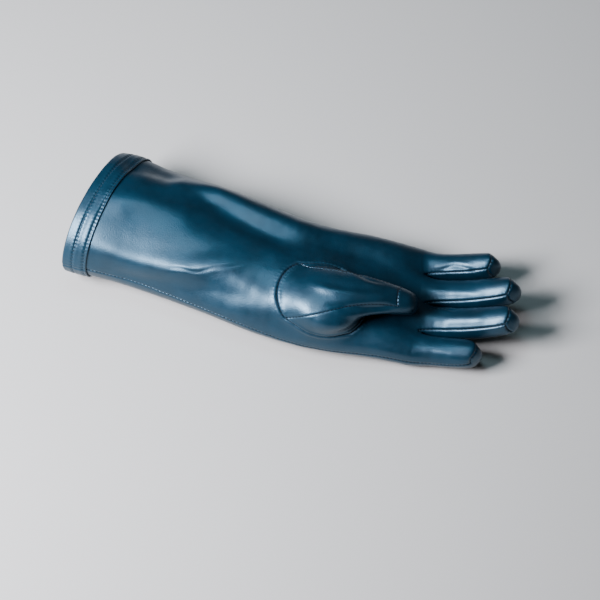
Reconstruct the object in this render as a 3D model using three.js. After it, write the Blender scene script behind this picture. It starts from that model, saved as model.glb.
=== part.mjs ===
// A right-hand gauntlet glove of leather over a lead-vinyl core, lying palm up on its back.
// Frame: +X from the cuff towards the fingertips, -Y the thumb side, +Z up, in millimetres;
// the origin is the middle of the glove's footprint, on the surface that it lies on.
// A coarse cage of quads is built from the sizes below and subdivided once; each panel of
// the cage is then thickened to the wall, so that the glove is hollow down to its fingertips.
import * as THREE from "three";

// Lengths along the glove, measured on its centre line from the cuff's edge.
const CUFF_LENGTH = 187; // cuff edge to the wrist
const PALM_LENGTH = 112; // wrist to the finger crotches
const THUMB_SEAM_TO_WRIST = 7; // how far the thumb's seam reaches past the wrist, towards the cuff
const THUMB_HOLE_LENGTH = 68;

// Full widths and heights of the main tube.
const CUFF_WIDTH = 123;
const CUFF_HEIGHT = 77;
const WRIST_WIDTH = 118;
const WRIST_HEIGHT = 58;
const PALM_EASE = 3.6; // how much wider the palm is than the row of fingers
const PALM_HEIGHT = 47;

const RIM_BOW = 3; // the cuff's edge runs out in the middle of its upper side
const RIM_SLANT = 12; // and stands back at the little finger's side
const WRIST_BEND = THREE.MathUtils.degToRad(13); // the hand turns towards the little finger
const BEND_LENGTH = 80;

const FINGER_WIDTH = 26.5;
const FINGER_DEPTH = 25;
const FINGER_GAP = 2.1; // between neighbouring fingers at their roots
const WEB_RECESS = 2; // the skin between two fingers stands back this far from their roots
const INDEX_LENGTH = 57;
const MIDDLE_LENGTH = 85;
const RING_LENGTH = 84;
const LITTLE_LENGTH = 68;
const TIP_ROUNDING = 10; // how far from its end a finger starts to round off

const THUMB_LENGTH = 114; // cuff side of the thumb's seam to the thumb's tip
const THUMB_WIDTH = 26;
const THUMB_DEPTH = 23;
const THUMB_CLEARANCE = 3; // between the folded thumb and the palm under it

const WALL = 3; // leather and lead vinyl together
const SEAM_GAP = 0.3;
const MITRE_LIMIT = 0.35; // a panel's sharp corners stand back by no more than this allows
const HEM_WIDTH = 17;
const HEM_WALL = 1.4;
const HEM_ROLL = 0.4; // how much of the hem's wall its folded edge is rounded by
const SOLE_SINK = 1.5; // the back is flattened where the glove's own weight presses it down

const FINGER_COUNT = 4;
const fingerPitch = FINGER_WIDTH + FINGER_GAP;
const palmWidth = FINGER_COUNT * fingerPitch + PALM_EASE;
const wrist = CUFF_LENGTH;
const crotch = CUFF_LENGTH + PALM_LENGTH;
const seamStart = wrist - THUMB_SEAM_TO_WRIST;
const hemLift = HEM_WALL + 2 * SEAM_GAP; // clears the surface under the hem

// The main tube's sections. Shift is a share of the section's width, by which it stands towards
// the little finger's side.
const TUBE_STATIONS = [
  { along: 0, width: CUFF_WIDTH * 0.98, height: CUFF_HEIGHT * 0.96, shift: -0.025 },
  { along: HEM_WIDTH, width: CUFF_WIDTH, height: CUFF_HEIGHT * 0.98, shift: -0.008 },
  { along: wrist * 0.3, width: CUFF_WIDTH * 0.96, height: CUFF_HEIGHT * 0.91, shift: 0.025 },
  { along: wrist * 0.65, width: CUFF_WIDTH * 0.96, height: WRIST_HEIGHT * 1.12, shift: 0.013 },
  { along: wrist, width: WRIST_WIDTH, height: WRIST_HEIGHT, shift: -0.013 },
  { along: wrist + PALM_LENGTH * 0.5, width: palmWidth, height: PALM_HEIGHT, shift: 0 },
  { along: crotch, width: palmWidth * 0.96, height: PALM_HEIGHT * 0.72, shift: -0.014 },
];
// The outline of the same sections: where the sides stand in the height, how square the upper and
// the lower half are (2 is an ellipse), and how far the section is lifted off the surface.
const TUBE_SHAPES = [
  { side: 0.43, crownRound: 2.1, soleRound: 2.3, lift: hemLift },
  { side: 0.43, crownRound: 2.1, soleRound: 2.4, lift: hemLift },
  { side: 0.42, crownRound: 2.1, soleRound: 2.5, lift: 0 },
  { side: 0.42, crownRound: 2.15, soleRound: 2.5, lift: 0 },
  { side: 0.42, crownRound: 2.3, soleRound: 2.7, lift: 0 },
  { side: 0.42, crownRound: 2.6, soleRound: 3, lift: 0 },
  { side: 0.48, crownRound: 3, soleRound: 3.4, lift: 0 },
];
TUBE_STATIONS.forEach((station, i) => Object.assign(station, TUBE_SHAPES[i]));

// Dents and ridges in the upper half, each along a path of points. Along is a share of the cuff's
// or the palm's length, from the cuff's edge (0 to 1) and on from the wrist (1 to 2); across runs
// from 0 at the thumb side to 1 at the far side; breadth and depth are shares of CUFF_WIDTH.
const DENTS = [
  {
    name: "valley",
    breadth: 0.065,
    depth: 0.057,
    path: [
      { along: 0.26, across: 0.8 },
      { along: 0.46, across: 0.555 },
      { along: 0.86, across: 0.575 },
      { along: 1.22, across: 0.645 },
      { along: 1.65, across: 0.6 },
    ],
  },
  {
    name: "far ridge",
    breadth: 0.065,
    depth: -0.033,
    path: [
      { along: 0.4, across: 0.73 },
      { along: 0.98, across: 0.7 },
    ],
  },
  {
    name: "side notch",
    breadth: 0.049,
    depth: 0.037,
    path: [
      { along: 0.26, across: 0.8 },
      { along: 0.28, across: 0.97 },
    ],
  },
  {
    name: "near hollow",
    breadth: 0.073,
    depth: 0.033,
    path: [
      { along: 0.54, across: 0.05 },
      { along: 0.95, across: 0.09 },
    ],
  },
  {
    name: "palm hollow",
    breadth: 0.146,
    depth: 0.065,
    path: [
      { along: 1.35, across: 0.33 },
      { along: 1.9, across: 0.42 },
    ],
  },
];

// Width is a share of FINGER_WIDTH and rootBack of PALM_LENGTH, which says how far the finger's
// root stands back from the middle finger's. Spread is in plan, and pitch is the finger's slope
// above the surface at its root and at its tip, all in degrees.
const FINGERS = [
  { name: "index", length: INDEX_LENGTH, width: 0.98, rootBack: 0.027, spread: -1.5, pitch: [3, 14] },
  { name: "middle", length: MIDDLE_LENGTH, width: 1.05, rootBack: 0, spread: -0.5, pitch: [4, 34] },
  { name: "ring", length: RING_LENGTH, width: 1, rootBack: 0.018, spread: 1, pitch: [4, 34] },
  { name: "little", length: LITTLE_LENGTH, width: 0.9, rootBack: 0.08, spread: 0.8, pitch: [3, 30] },
];
// A finger's loops, at shares of its length up to its rounding. Nose is a share of the rounding,
// by which a loop's front and back reach ahead of its sides.
const FINGER_LOOPS = [
  { share: 0.18, girth: 1, nose: 0 },
  { share: 0.56, girth: 0.985, nose: 0 },
  { share: 1, girth: 0.97, nose: 1 },
];
const TIP_LOOP = { share: 0.55, girth: 0.76, nose: 0.4 }; // the tip's seam, a share of the rounding
const TIP_END = { girth: 0.34, across: 0.6, forward: 1 }; // the two points that close the tip

// The thumb's loops stand on a dorsal and a ventral point. Dorsal runs from the seam's cuff side
// (0) to the tip (1), ventral from the hole's finger side (0) to the tip (1); rise and girth are
// shares of the thumb's depth and width, and lateral is a share of the palm's half width.
const THUMB_LOOPS = [
  { dorsal: 0.12, ventral: -0.03, rise: 0.86, lateral: -0.51, girth: 2.32 },
  { dorsal: 0.28, ventral: -0.01, rise: 1.02, lateral: -0.46, girth: 2 },
  { dorsal: 0.46, ventral: 0.1, rise: 1.1, lateral: -0.4, girth: 1.54 },
  { dorsal: 0.66, ventral: 0.35, rise: 1.06, lateral: -0.33, girth: 1.17 },
  { dorsal: 0.86, ventral: 0.76, rise: 0.96, lateral: -0.29, girth: 0.92 },
  { dorsal: 0.96, ventral: 0.93, rise: 0.82, lateral: -0.275, girth: 0.7 },
];
const THUMB_END = { dorsal: 1, ventral: 0.99, rise: 0.72, lateral: -0.275, girth: 0.4, high: 0.34 };

// The cage round the tube: EDGES_PER_FINGER edges for each finger above and below, and EDGES_PER_SIDE
// at each side. Places round it are numbered from the thumb side's upper corner over the palm.
const EDGES_PER_FINGER = 3;
const EDGES_PER_SIDE = 2;
const TOP_EDGES = FINGER_COUNT * EDGES_PER_FINGER;
const ROUND = 2 * (TOP_EDGES + EDGES_PER_SIDE);
const HALF_ROUND = ROUND / 2;
const FAR_MIDDLE = TOP_EDGES + EDGES_PER_SIDE / 2; // place of the little finger's side seam
const HOLE_ROW_INDEX = 6; // the cage row where the thumb's hole starts
const HOLE_ROW_COUNT = 3;
const HOLE_PLACE_INDEX = 1;
const HOLE_PLACE_COUNT = 5;
const HOLE_REACH = 2.2; // how far outside the hole its shaping fades, in half holes
const HOLE_STRETCH = 0.3; // how much wider than its places the thumb's hole is
const HOLE_SHIFT = 0.25; // and how many places it moves to the thumb side

const SECTION_STEP_COUNT = 48;
const GIRTH_SHARE = 1.25; // the upper half's girth as a share of the tube's width
const { clamp, lerp, smoothstep, degToRad } = THREE.MathUtils;

// A value of the tube's stations at a place along it, eased from station to station.
function stationValue(key, along) {
  const last = TUBE_STATIONS.length - 1;
  let i = 0;
  while (i < last - 1 && along > TUBE_STATIONS[i + 1].along) i++;
  const [a, b] = [TUBE_STATIONS[i], TUBE_STATIONS[i + 1]];
  const before = TUBE_STATIONS[Math.max(i - 1, 0)];
  const after = TUBE_STATIONS[Math.min(i + 2, last)];
  const span = b.along - a.along;
  const slopeA = ((b[key] - before[key]) / (b.along - before.along)) * span;
  const slopeB = ((after[key] - a[key]) / (after.along - a.along)) * span;
  const s = clamp((along - a.along) / span, 0, 1);
  const [s2, s3] = [s * s, s * s * s];
  return (
    (2 * s3 - 3 * s2 + 1) * a[key] +
    (s3 - 2 * s2 + s) * slopeA +
    (3 * s2 - 2 * s3) * b[key] +
    (s3 - s2) * slopeB
  );
}

// The centre line in plan: straight, an arc of BEND_LENGTH round the wrist, and straight again.
function centreLine(along) {
  const bendStart = wrist - BEND_LENGTH / 2;
  const turn = clamp((along - bendStart) / BEND_LENGTH, 0, 1);
  const first = -WRIST_BEND / 2;
  const radius = BEND_LENGTH / WRIST_BEND;
  const heading = first + turn * WRIST_BEND;
  const before = Math.min(along, bendStart);
  const after = Math.max(along - bendStart - BEND_LENGTH, 0);
  const x =
    before * Math.cos(first) +
    radius * (Math.sin(heading) - Math.sin(first)) +
    after * Math.cos(heading);
  const y =
    before * Math.sin(first) -
    radius * (Math.cos(heading) - Math.cos(first)) +
    after * Math.sin(heading);
  return { x, y, heading };
}

// A point given along the centre line, to its side and above the surface.
function place(along, lateral, height) {
  const { x, y, heading } = centreLine(along);
  return new THREE.Vector3(x - lateral * Math.sin(heading), y + lateral * Math.cos(heading), height);
}

function alongOfShare(share) {
  return share <= 1 ? share * CUFF_LENGTH : CUFF_LENGTH + (share - 1) * PALM_LENGTH;
}

// Distance on the tube's skin from a place to a leg of a dent's path.
function distanceToLeg(along, across, from, to, girth) {
  const [start, end] = [alongOfShare(from.along), alongOfShare(to.along)];
  const leg = new THREE.Vector2(end - start, (to.across - from.across) * girth);
  const offset = new THREE.Vector2(along - start, (across - from.across) * girth);
  const run = clamp(offset.dot(leg) / leg.lengthSq(), 0, 1);
  return offset.addScaledVector(leg, -run).length();
}

// How far the dents push the upper half inwards, in millimetres.
function dentDepth(along, across) {
  const girth = stationValue("width", along) * GIRTH_SHARE;
  let total = 0;
  for (const { breadth, depth, path } of DENTS) {
    const legs = path.slice(1).map((to, i) => distanceToLeg(along, across, path[i], to, girth));
    const share = Math.min(...legs) / (breadth * CUFF_WIDTH);
    total += depth * CUFF_WIDTH * Math.exp((-share * share) / 2);
  }
  return total;
}

function power(value, exponent) {
  return Math.sign(value) * Math.pow(Math.abs(value), exponent);
}

// Half of a cross-section as [lateral, height] points, from the thumb side to the far side.
function halfSection(along, upper) {
  const width = stationValue("width", along);
  const height = stationValue("height", along);
  const side = height * stationValue("side", along);
  const lift = Math.max(stationValue("lift", along), 0);
  const middle = width * stationValue("shift", along);
  const exponent = 2 / stationValue(upper ? "crownRound" : "soleRound", along);
  const reach = upper ? height - side : side - lift + SOLE_SINK;
  const points = [];
  for (let i = 0; i <= SECTION_STEP_COUNT; i++) {
    const angle = Math.PI * (1 - i / SECTION_STEP_COUNT);
    const [c, s] = [Math.cos(angle), Math.sin(angle)];
    const depth = upper ? dentDepth(along, i / SECTION_STEP_COUNT) * Math.sqrt(s) : 0;
    const lateral = middle + (width / 2) * power(c, exponent) - depth * c;
    const rise = reach * power(s, exponent) - depth * s;
    points.push([lateral, upper ? side + rise : Math.max(side - rise, lift)]);
  }
  return points;
}

function pointAtShare(points, share) {
  const lengths = [0];
  for (let i = 1; i < points.length; i++) {
    const step = Math.hypot(points[i][0] - points[i - 1][0], points[i][1] - points[i - 1][1]);
    lengths.push(lengths[i - 1] + step);
  }
  const wanted = share * lengths[lengths.length - 1];
  let i = 1;
  while (i < points.length - 1 && lengths[i] < wanted) i++;
  const t = clamp((wanted - lengths[i - 1]) / (lengths[i] - lengths[i - 1]), 0, 1);
  return [lerp(points[i - 1][0], points[i][0], t), lerp(points[i - 1][1], points[i][1], t)];
}

// A point of the tube; across counts the cage's places and may be a fraction.
function tubePoint(along, across) {
  const fromNear = THREE.MathUtils.euclideanModulo(across + EDGES_PER_SIDE / 2, ROUND);
  const upper = fromNear <= HALF_ROUND;
  const share = upper ? fromNear / HALF_ROUND : (ROUND - fromNear) / HALF_ROUND;
  const [lateral, height] = pointAtShare(halfSection(along, upper), share);
  const bow = upper ? RIM_BOW * Math.sin(Math.PI * share) : 0;
  const nearRim = 1 - smoothstep(along, HEM_WIDTH, CUFF_LENGTH / 2);
  return place(along + nearRim * (RIM_SLANT * (share - 0.5) - bow), lateral, height);
}

// Height of the tube's upper surface at a lateral distance from the centre line.
function topHeight(along, lateral) {
  const points = halfSection(along, true);
  let i = 1;
  while (i < points.length - 1 && points[i][0] < lateral) i++;
  const t = clamp((lateral - points[i - 1][0]) / (points[i][0] - points[i - 1][0]), 0, 1);
  return lerp(points[i - 1][1], points[i][1], t);
}

// Moves a cage place near the thumb's hole so that the rectangular hole becomes a wider oval.
function roundedHole(along, across) {
  const halfLength = THUMB_HOLE_LENGTH / 2;
  const halfPlaces = HOLE_PLACE_COUNT / 2;
  const middle = HOLE_PLACE_INDEX + halfPlaces;
  const signed = across > middle + HALF_ROUND ? across - ROUND : across;
  const a = (along - seamStart - halfLength) / halfLength;
  const b = (signed - middle) / halfPlaces;
  const square = Math.max(Math.abs(a), Math.abs(b));
  if (square >= HOLE_REACH || square === 0) return { along, across };
  const fade = clamp((HOLE_REACH - square) / (HOLE_REACH - 1), 0, 1);
  const [ua, ub] = [a / square, b / square];
  const shiftA = (ua * Math.sqrt(1 - (ub * ub) / 2) - ua) * square * fade;
  const shiftB = (ub * Math.sqrt(1 - (ua * ua) / 2) - ub) * square * fade;
  const wide = (b + shiftB) * (1 + HOLE_STRETCH * fade);
  return { along: along + shiftA * halfLength, across: middle + wide * halfPlaces - HOLE_SHIFT * fade };
}

const surface = { points: [], quads: [] };

function addPoint(point) {
  surface.points.push(point);
  return surface.points.length - 1;
}

function addQuad(panel, ...corners) {
  surface.quads.push({ panel, corners });
}

// Quads between two loops of equal length; the second loop lies further out.
function addBand(inner, outer, panelAt) {
  for (let i = 0; i < inner.length; i++) {
    const next = (i + 1) % inner.length;
    addQuad(panelAt(i), inner[i], outer[i], outer[next], inner[next]);
  }
}

// A patch of quads that closes a tip, given as columns from the near side to the far side.
function addCap(columns, panel) {
  for (let j = 0; j + 1 < columns.length; j++) {
    for (let k = 0; k + 1 < columns[j].length; k++) {
      addQuad(panel, columns[j][k], columns[j][k + 1], columns[j + 1][k + 1], columns[j + 1][k]);
    }
  }
}

const fingerLateral = (index) => (index - (FINGER_COUNT - 1) / 2) * fingerPitch;

// A polygon's corners grow by this so that the tube subdivided from it keeps its real girth.
const cageGrowth = (sides) => 3 / (2 + Math.cos((2 * Math.PI) / sides));
const FINGER_SIDES = 2 * (EDGES_PER_FINGER + EDGES_PER_SIDE);
const CROWN_RISE = Math.sin(Math.PI * (0.5 - 1 / FINGER_SIDES)); // of a finger loop's two crown corners
const CORNER_RISE = Math.sin(Math.PI * (0.5 - 3 / FINGER_SIDES)); // of the next corner on each side
const cageHalfDepth = (FINGER_DEPTH / 2) * cageGrowth(FINGER_SIDES);
const fingerAxisHeight = cageHalfDepth * CROWN_RISE;

const crotchAlong = (index) => crotch - FINGERS[index].rootBack * PALM_LENGTH;

// A point of the row at the finger roots. Column counts places across the fingers, and level is
// 1 on the palm's side, -1 on the back and 0 half-way, where the skin between fingers is.
function crotchPoint(column, level) {
  const index = Math.min(Math.floor(column / EDGES_PER_FINGER), FINGER_COUNT - 1);
  const corner = column - index * EDGES_PER_FINGER;
  const atEdge = corner === 0 || corner === EDGES_PER_FINGER;
  const shared = atEdge && column > 0 && column < TOP_EDGES;
  const root = shared ? (crotchAlong(index) + crotchAlong(index - 1)) / 2 : crotchAlong(index);
  const lateral = fingerLateral(index) + (corner / EDGES_PER_FINGER - 0.5) * fingerPitch;
  const rise = level * cageHalfDepth * (atEdge ? CORNER_RISE : CROWN_RISE);
  return place(root - (level === 0 ? WEB_RECESS : 0), lateral, fingerAxisHeight + rise);
}

const HOLE_ROWS_END = HOLE_ROW_INDEX + HOLE_ROW_COUNT;
const ROWS = [
  0,
  HEM_WIDTH,
  ...[0.21, 0.41, 0.61, 0.81].map((share) => lerp(HEM_WIDTH, seamStart, share)),
  ...[0, 1, 2, 3].map((i) => seamStart + (i / HOLE_ROW_COUNT) * THUMB_HOLE_LENGTH),
  lerp(seamStart + THUMB_HOLE_LENGTH, crotch, 0.48),
  crotch,
];

function buildTube() {
  const last = ROWS.length - 1;
  const rows = ROWS.map((along, row) =>
    Array.from({ length: ROUND }, (_, across) => {
      if (row < last) {
        const moved = row < 2 ? { along, across } : roundedHole(along, across);
        return addPoint(tubePoint(moved.along, moved.across));
      }
      const farCorner = TOP_EDGES + EDGES_PER_SIDE;
      const nearCorner = ROUND - EDGES_PER_SIDE;
      if (across <= TOP_EDGES) return addPoint(crotchPoint(across, 1));
      if (across < farCorner) return addPoint(crotchPoint(TOP_EDGES, 0));
      if (across <= nearCorner) return addPoint(crotchPoint(nearCorner - across, -1));
      return addPoint(crotchPoint(0, 0));
    }),
  );
  const upperPanel = (across) => across <= TOP_EDGES || across === ROUND - 1;
  for (let row = 0; row < last; row++) {
    for (let across = 0; across < ROUND; across++) {
      const inHoleRows = row >= HOLE_ROW_INDEX && row < HOLE_ROWS_END;
      const past = across - HOLE_PLACE_INDEX;
      if (inHoleRows && past >= 0 && past < HOLE_PLACE_COUNT) continue;
      const next = (across + 1) % ROUND;
      const panel = upperPanel(across) ? "palm_panel" : "back_panel";
      addQuad(panel, rows[row][across], rows[row + 1][across], rows[row + 1][next], rows[row][next]);
    }
  }
  return rows;
}

// The plane across a finger at a distance from its root; at() gives a point of it, across and up
// in shares of the finger's half width and half depth there, and forward in millimetres.
function fingerSection(index, distance, girth) {
  const finger = FINGERS[index];
  const [pitch0, pitch1] = finger.pitch.map(degToRad);
  const bend = (pitch1 - pitch0) / finger.length;
  const pitch = pitch0 + bend * distance;
  const run = (Math.sin(pitch) - Math.sin(pitch0)) / bend;
  const rise = (Math.cos(pitch0) - Math.cos(pitch)) / bend;
  const yaw = centreLine(crotch).heading + degToRad(finger.spread);
  const ahead = new THREE.Vector3(Math.cos(yaw), Math.sin(yaw), 0);
  const aside = new THREE.Vector3(-Math.sin(yaw), Math.cos(yaw), 0);
  const up = ahead.clone().multiplyScalar(-Math.sin(pitch)).setZ(Math.cos(pitch));
  const along = ahead.clone().multiplyScalar(Math.cos(pitch)).setZ(Math.sin(pitch));
  const centre = place(crotchAlong(index), fingerLateral(index), fingerAxisHeight + rise);
  centre.addScaledVector(ahead, run);
  aside.multiplyScalar((FINGER_WIDTH / 2) * finger.width * girth * cageGrowth(FINGER_SIDES));
  up.multiplyScalar(cageHalfDepth * girth);
  const at = (across, high, forward = 0) =>
    centre.clone().addScaledVector(aside, across).addScaledVector(up, high).addScaledVector(along, forward);
  return at;
}

// A loop of cage points round a finger; nose pushes its front and back ahead of its sides.
function fingerLoop(index, distance, girth, nose = 0) {
  const at = fingerSection(index, distance, girth);
  return Array.from({ length: FINGER_SIDES }, (_, i) => {
    const angle = Math.PI * (0.5 - (2 * (i - EDGES_PER_FINGER / 2)) / FINGER_SIDES);
    const forward = nose * (Math.abs(Math.sin(angle)) - CORNER_RISE);
    return addPoint(at(Math.cos(angle), Math.sin(angle), forward));
  });
}

function buildFinger(index, crotchRow, webs) {
  const finger = FINGERS[index];
  const first = index * EDGES_PER_FINGER;
  const under = ROUND - EDGES_PER_SIDE - first;
  const places = Array.from({ length: EDGES_PER_FINGER + 1 }, (_, i) => i);
  const base = [
    ...places.map((i) => crotchRow[first + i]),
    webs[index + 1],
    ...places.reverse().map((i) => crotchRow[under - i]),
    webs[index],
  ];
  const [before, after] = [FINGERS[index - 1], FINGERS[index + 1]];
  const backStart = EDGES_PER_FINGER + EDGES_PER_SIDE;
  const backEnd = backStart + EDGES_PER_FINGER;
  const backPanel = `${finger.name}_back`;
  const panelAt = (i) => {
    if (i < EDGES_PER_FINGER) return "palm_panel";
    if (i < backStart && after) return `fourchette_${finger.name}_${after.name}`;
    if (i >= backEnd && before) return `fourchette_${before.name}_${finger.name}`;
    return i === EDGES_PER_FINGER || i === FINGER_SIDES - 1 ? "palm_panel" : backPanel;
  };
  const tipStart = finger.length - TIP_ROUNDING;
  let loop = base;
  for (const { share, girth, nose } of FINGER_LOOPS) {
    const outer = fingerLoop(index, share * tipStart, girth, nose * TIP_ROUNDING);
    addBand(loop, outer, panelAt);
    loop = outer;
  }
  const tip = lerp(tipStart, finger.length, TIP_LOOP.share);
  const outer = fingerLoop(index, tip, TIP_LOOP.girth, TIP_LOOP.nose * TIP_ROUNDING);
  addBand(loop, outer, panelAt);
  const at = fingerSection(index, finger.length, TIP_END.girth);
  const [nearEnd, farEnd] = [-1, 1].map((side) => addPoint(at(side * TIP_END.across, 0, TIP_END.forward)));
  addCap(
    [
      [outer[0], outer[9], outer[8]],
      [outer[1], nearEnd, outer[7]],
      [outer[2], farEnd, outer[6]],
      [outer[3], outer[4], outer[5]],
    ],
    backPanel,
  );
}

function buildThumb(rows) {
  const [firstRow, firstPlace, places] = [HOLE_ROW_INDEX, HOLE_PLACE_INDEX, HOLE_PLACE_COUNT];
  const lastPlace = firstPlace + places;
  const hole = [];
  for (let q = firstPlace; q < lastPlace; q++) hole.push(rows[firstRow][q]);
  for (let row = firstRow; row < HOLE_ROWS_END; row++) hole.push(rows[row][lastPlace]);
  for (let q = lastPlace; q > firstPlace; q--) hole.push(rows[HOLE_ROWS_END][q]);
  for (let row = HOLE_ROWS_END; row > firstRow; row--) hole.push(rows[row][firstPlace]);
  const count = hole.length;
  const holeEnd = seamStart + THUMB_HOLE_LENGTH;
  const tipAlong = seamStart + THUMB_LENGTH;

  const sectionOf = ({ dorsal, ventral, rise, lateral, girth }) => {
    const side = lateral * (palmWidth / 2);
    const ventralAlong = lerp(holeEnd, tipAlong, ventral);
    const dorsalAlong = lerp(seamStart, tipAlong, dorsal);
    const floor = Math.max(
      ...[-0.5, 0, 0.5].map((s) => topHeight(Math.max(ventralAlong, holeEnd), side + s * THUMB_WIDTH)),
    );
    const low = floor + THUMB_CLEARANCE;
    const bottom = place(ventralAlong, side, low);
    const top = place(dorsalAlong, side, low + rise * THUMB_DEPTH);
    const centre = bottom.clone().lerp(top, 0.5);
    const up = top.clone().sub(bottom).multiplyScalar(0.5 * cageGrowth(count));
    const { heading } = centreLine(ventralAlong);
    const aside = new THREE.Vector3(-Math.sin(heading), Math.cos(heading), 0);
    aside.multiplyScalar((THUMB_WIDTH / 2) * girth * cageGrowth(count));
    return (across, high) => centre.clone().addScaledVector(aside, across).addScaledVector(up, high);
  };
  const panelAt = (i) => (i < places ? "thumb_top" : "thumb_under");
  let loop = hole;
  THUMB_LOOPS.forEach((row, step) => {
    const at = sectionOf(row);
    const outer = Array.from({ length: count }, (_, i) => {
      const angle = Math.PI * (0.5 - (2 * (i - places / 2)) / count);
      return addPoint(at(Math.cos(angle), Math.sin(angle)));
    });
    const last = step === THUMB_LOOPS.length - 1;
    addBand(loop, outer, last ? () => "thumb_under" : panelAt);
    loop = outer;
  });
  const at = sectionOf(THUMB_END);
  const columns = Array.from({ length: places + 1 }, (_, j) => {
    const [top, bottom] = [loop[j], loop[count - HOLE_ROW_COUNT - j]];
    if (j === 0) return [top, loop[count - 1], loop[count - 2], bottom];
    if (j === places) return [top, loop[places + 1], loop[places + 2], bottom];
    const w = (2 * j) / places - 1;
    return [top, addPoint(at(w, THUMB_END.high)), addPoint(at(w, -THUMB_END.high)), bottom];
  });
  addCap(columns, "thumb_under");
}

function average(points) {
  const sum = new THREE.Vector3();
  for (const point of points) sum.add(point);
  return sum.divideScalar(points.length);
}

// One Catmull-Clark step over the whole cage; each quad passes its panel on.
function subdivide({ points, quads }) {
  const edges = new Map();
  const key = (a, b) => (a < b ? `${a}:${b}` : `${b}:${a}`);
  const around = points.map(() => ({ faces: [], edges: new Set() }));
  const faceCentres = quads.map(({ corners }) => average(corners.map((c) => points[c])));
  quads.forEach(({ corners }, face) => {
    corners.forEach((a, i) => {
      const b = corners[(i + 1) % 4];
      const name = key(a, b);
      if (!edges.has(name)) edges.set(name, { ends: [a, b], faces: [] });
      edges.get(name).faces.push(face);
      around[a].faces.push(face);
      around[a].edges.add(name);
      around[b].edges.add(name);
    });
  });
  const out = { points: [], quads: [] };
  const add = (point) => out.points.push(point) - 1;
  for (const [index, point] of points.entries()) {
    const touching = [...around[index].edges].map((name) => edges.get(name));
    const rim = touching.filter((edge) => edge.faces.length === 1);
    const other = (edge) => points[edge.ends[0] === index ? edge.ends[1] : edge.ends[0]];
    if (!touching.length) {
      add(point.clone());
    } else if (rim.length) {
      add(average(rim.map(other)).multiplyScalar(0.25).addScaledVector(point, 0.75));
    } else {
      const n = touching.length;
      const faces = average(around[index].faces.map((face) => faceCentres[face]));
      const middles = average(touching.map((edge) => other(edge).clone().add(point).divideScalar(2)));
      add(faces.addScaledVector(middles, 2).addScaledVector(point, n - 3).divideScalar(n));
    }
  }
  for (const edge of edges.values()) {
    const ends = edge.ends.map((end) => points[end]);
    const middle = edge.faces.length === 1 ? ends : [...ends, ...edge.faces.map((face) => faceCentres[face])];
    edge.point = add(average(middle));
  }
  quads.forEach(({ panel, corners }, face) => {
    const centre = add(faceCentres[face]);
    corners.forEach((corner, i) => {
      const ahead = edges.get(key(corner, corners[(i + 1) % 4])).point;
      const behind = edges.get(key(corners[(i + 3) % 4], corner)).point;
      out.quads.push({ panel, corners: [corner, ahead, centre, behind] });
    });
  });
  return out;
}

function vertexNormals({ points, quads }) {
  const normals = points.map(() => new THREE.Vector3());
  for (const { corners } of quads) {
    const [a, b, c, d] = corners.map((corner) => points[corner]);
    const normal = c.clone().sub(a).cross(d.clone().sub(b));
    for (const corner of corners) normals[corner].add(normal);
  }
  return normals.map((normal) => normal.normalize());
}

function meshOf(name, positions, triangles, material) {
  const numbers = positions.flatMap((point) => point.toArray());
  const geometry = new THREE.BufferGeometry();
  geometry.setAttribute("position", new THREE.Float32BufferAttribute(numbers, 3));
  geometry.setIndex(triangles);
  geometry.computeVertexNormals();
  const mesh = new THREE.Mesh(geometry, material);
  mesh.name = name;
  return mesh;
}

function quadTriangles(a, b, c, d) {
  return [a, b, c, a, c, d];
}

// How far each vertex of a panel's edge stands back, so that the gap to the next panel is even.
function standBack(fine, normals, edges) {
  const sides = new Map();
  for (const [a, b] of edges) {
    const run = fine.points[b].clone().sub(fine.points[a]);
    for (const vertex of [a, b]) {
      const side = normals[vertex].clone().cross(run).normalize();
      sides.set(vertex, [...(sides.get(vertex) ?? []), side]);
    }
  }
  const shifts = new Map();
  for (const [vertex, [first, second]] of sides) {
    const mitre = Math.max(1 + first.dot(second), MITRE_LIMIT);
    shifts.set(vertex, first.clone().add(second).multiplyScalar(SEAM_GAP / 2 / mitre));
  }
  return shifts;
}

// One panel of the fine surface as a solid: its outer faces, the same faces a wall deeper, and
// side walls along its edges, which stand back from the seam by half the gap.
function panelSolid(fine, normals, name, material) {
  const quads = fine.quads.filter((quad) => quad.panel === name);
  const uses = new Map();
  for (const { corners } of quads) {
    corners.forEach((a, i) => uses.set(`${a}:${corners[(i + 1) % 4]}`, [a, corners[(i + 1) % 4]]));
  }
  const edges = [...uses.values()].filter(([a, b]) => !uses.has(`${b}:${a}`));
  const shifts = standBack(fine, normals, edges);
  const used = [...new Set(quads.flatMap((quad) => quad.corners))];
  const number = new Map(used.map((vertex, i) => [vertex, i]));
  const outer = used.map((vertex) => {
    const point = fine.points[vertex].clone();
    return shifts.has(vertex) ? point.add(shifts.get(vertex)) : point;
  });
  const inner = used.map((vertex, i) => outer[i].clone().addScaledVector(normals[vertex], -WALL));
  const count = used.length;
  const triangles = [];
  for (const { corners } of quads) {
    const [a, b, c, d] = corners.map((corner) => number.get(corner));
    triangles.push(...quadTriangles(a, b, c, d));
    triangles.push(...quadTriangles(b + count, a + count, d + count, c + count));
  }
  // Both panels at a seam split its twisted side walls along the same diagonal.
  for (const [from, to] of edges) {
    const [a, b] = [number.get(from), number.get(to)];
    if (from < to) triangles.push(...quadTriangles(a, a + count, b + count, b));
    else triangles.push(...quadTriangles(b, a, a + count, b + count));
  }
  return meshOf(name, [...outer, ...inner], triangles, material);
}

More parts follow.
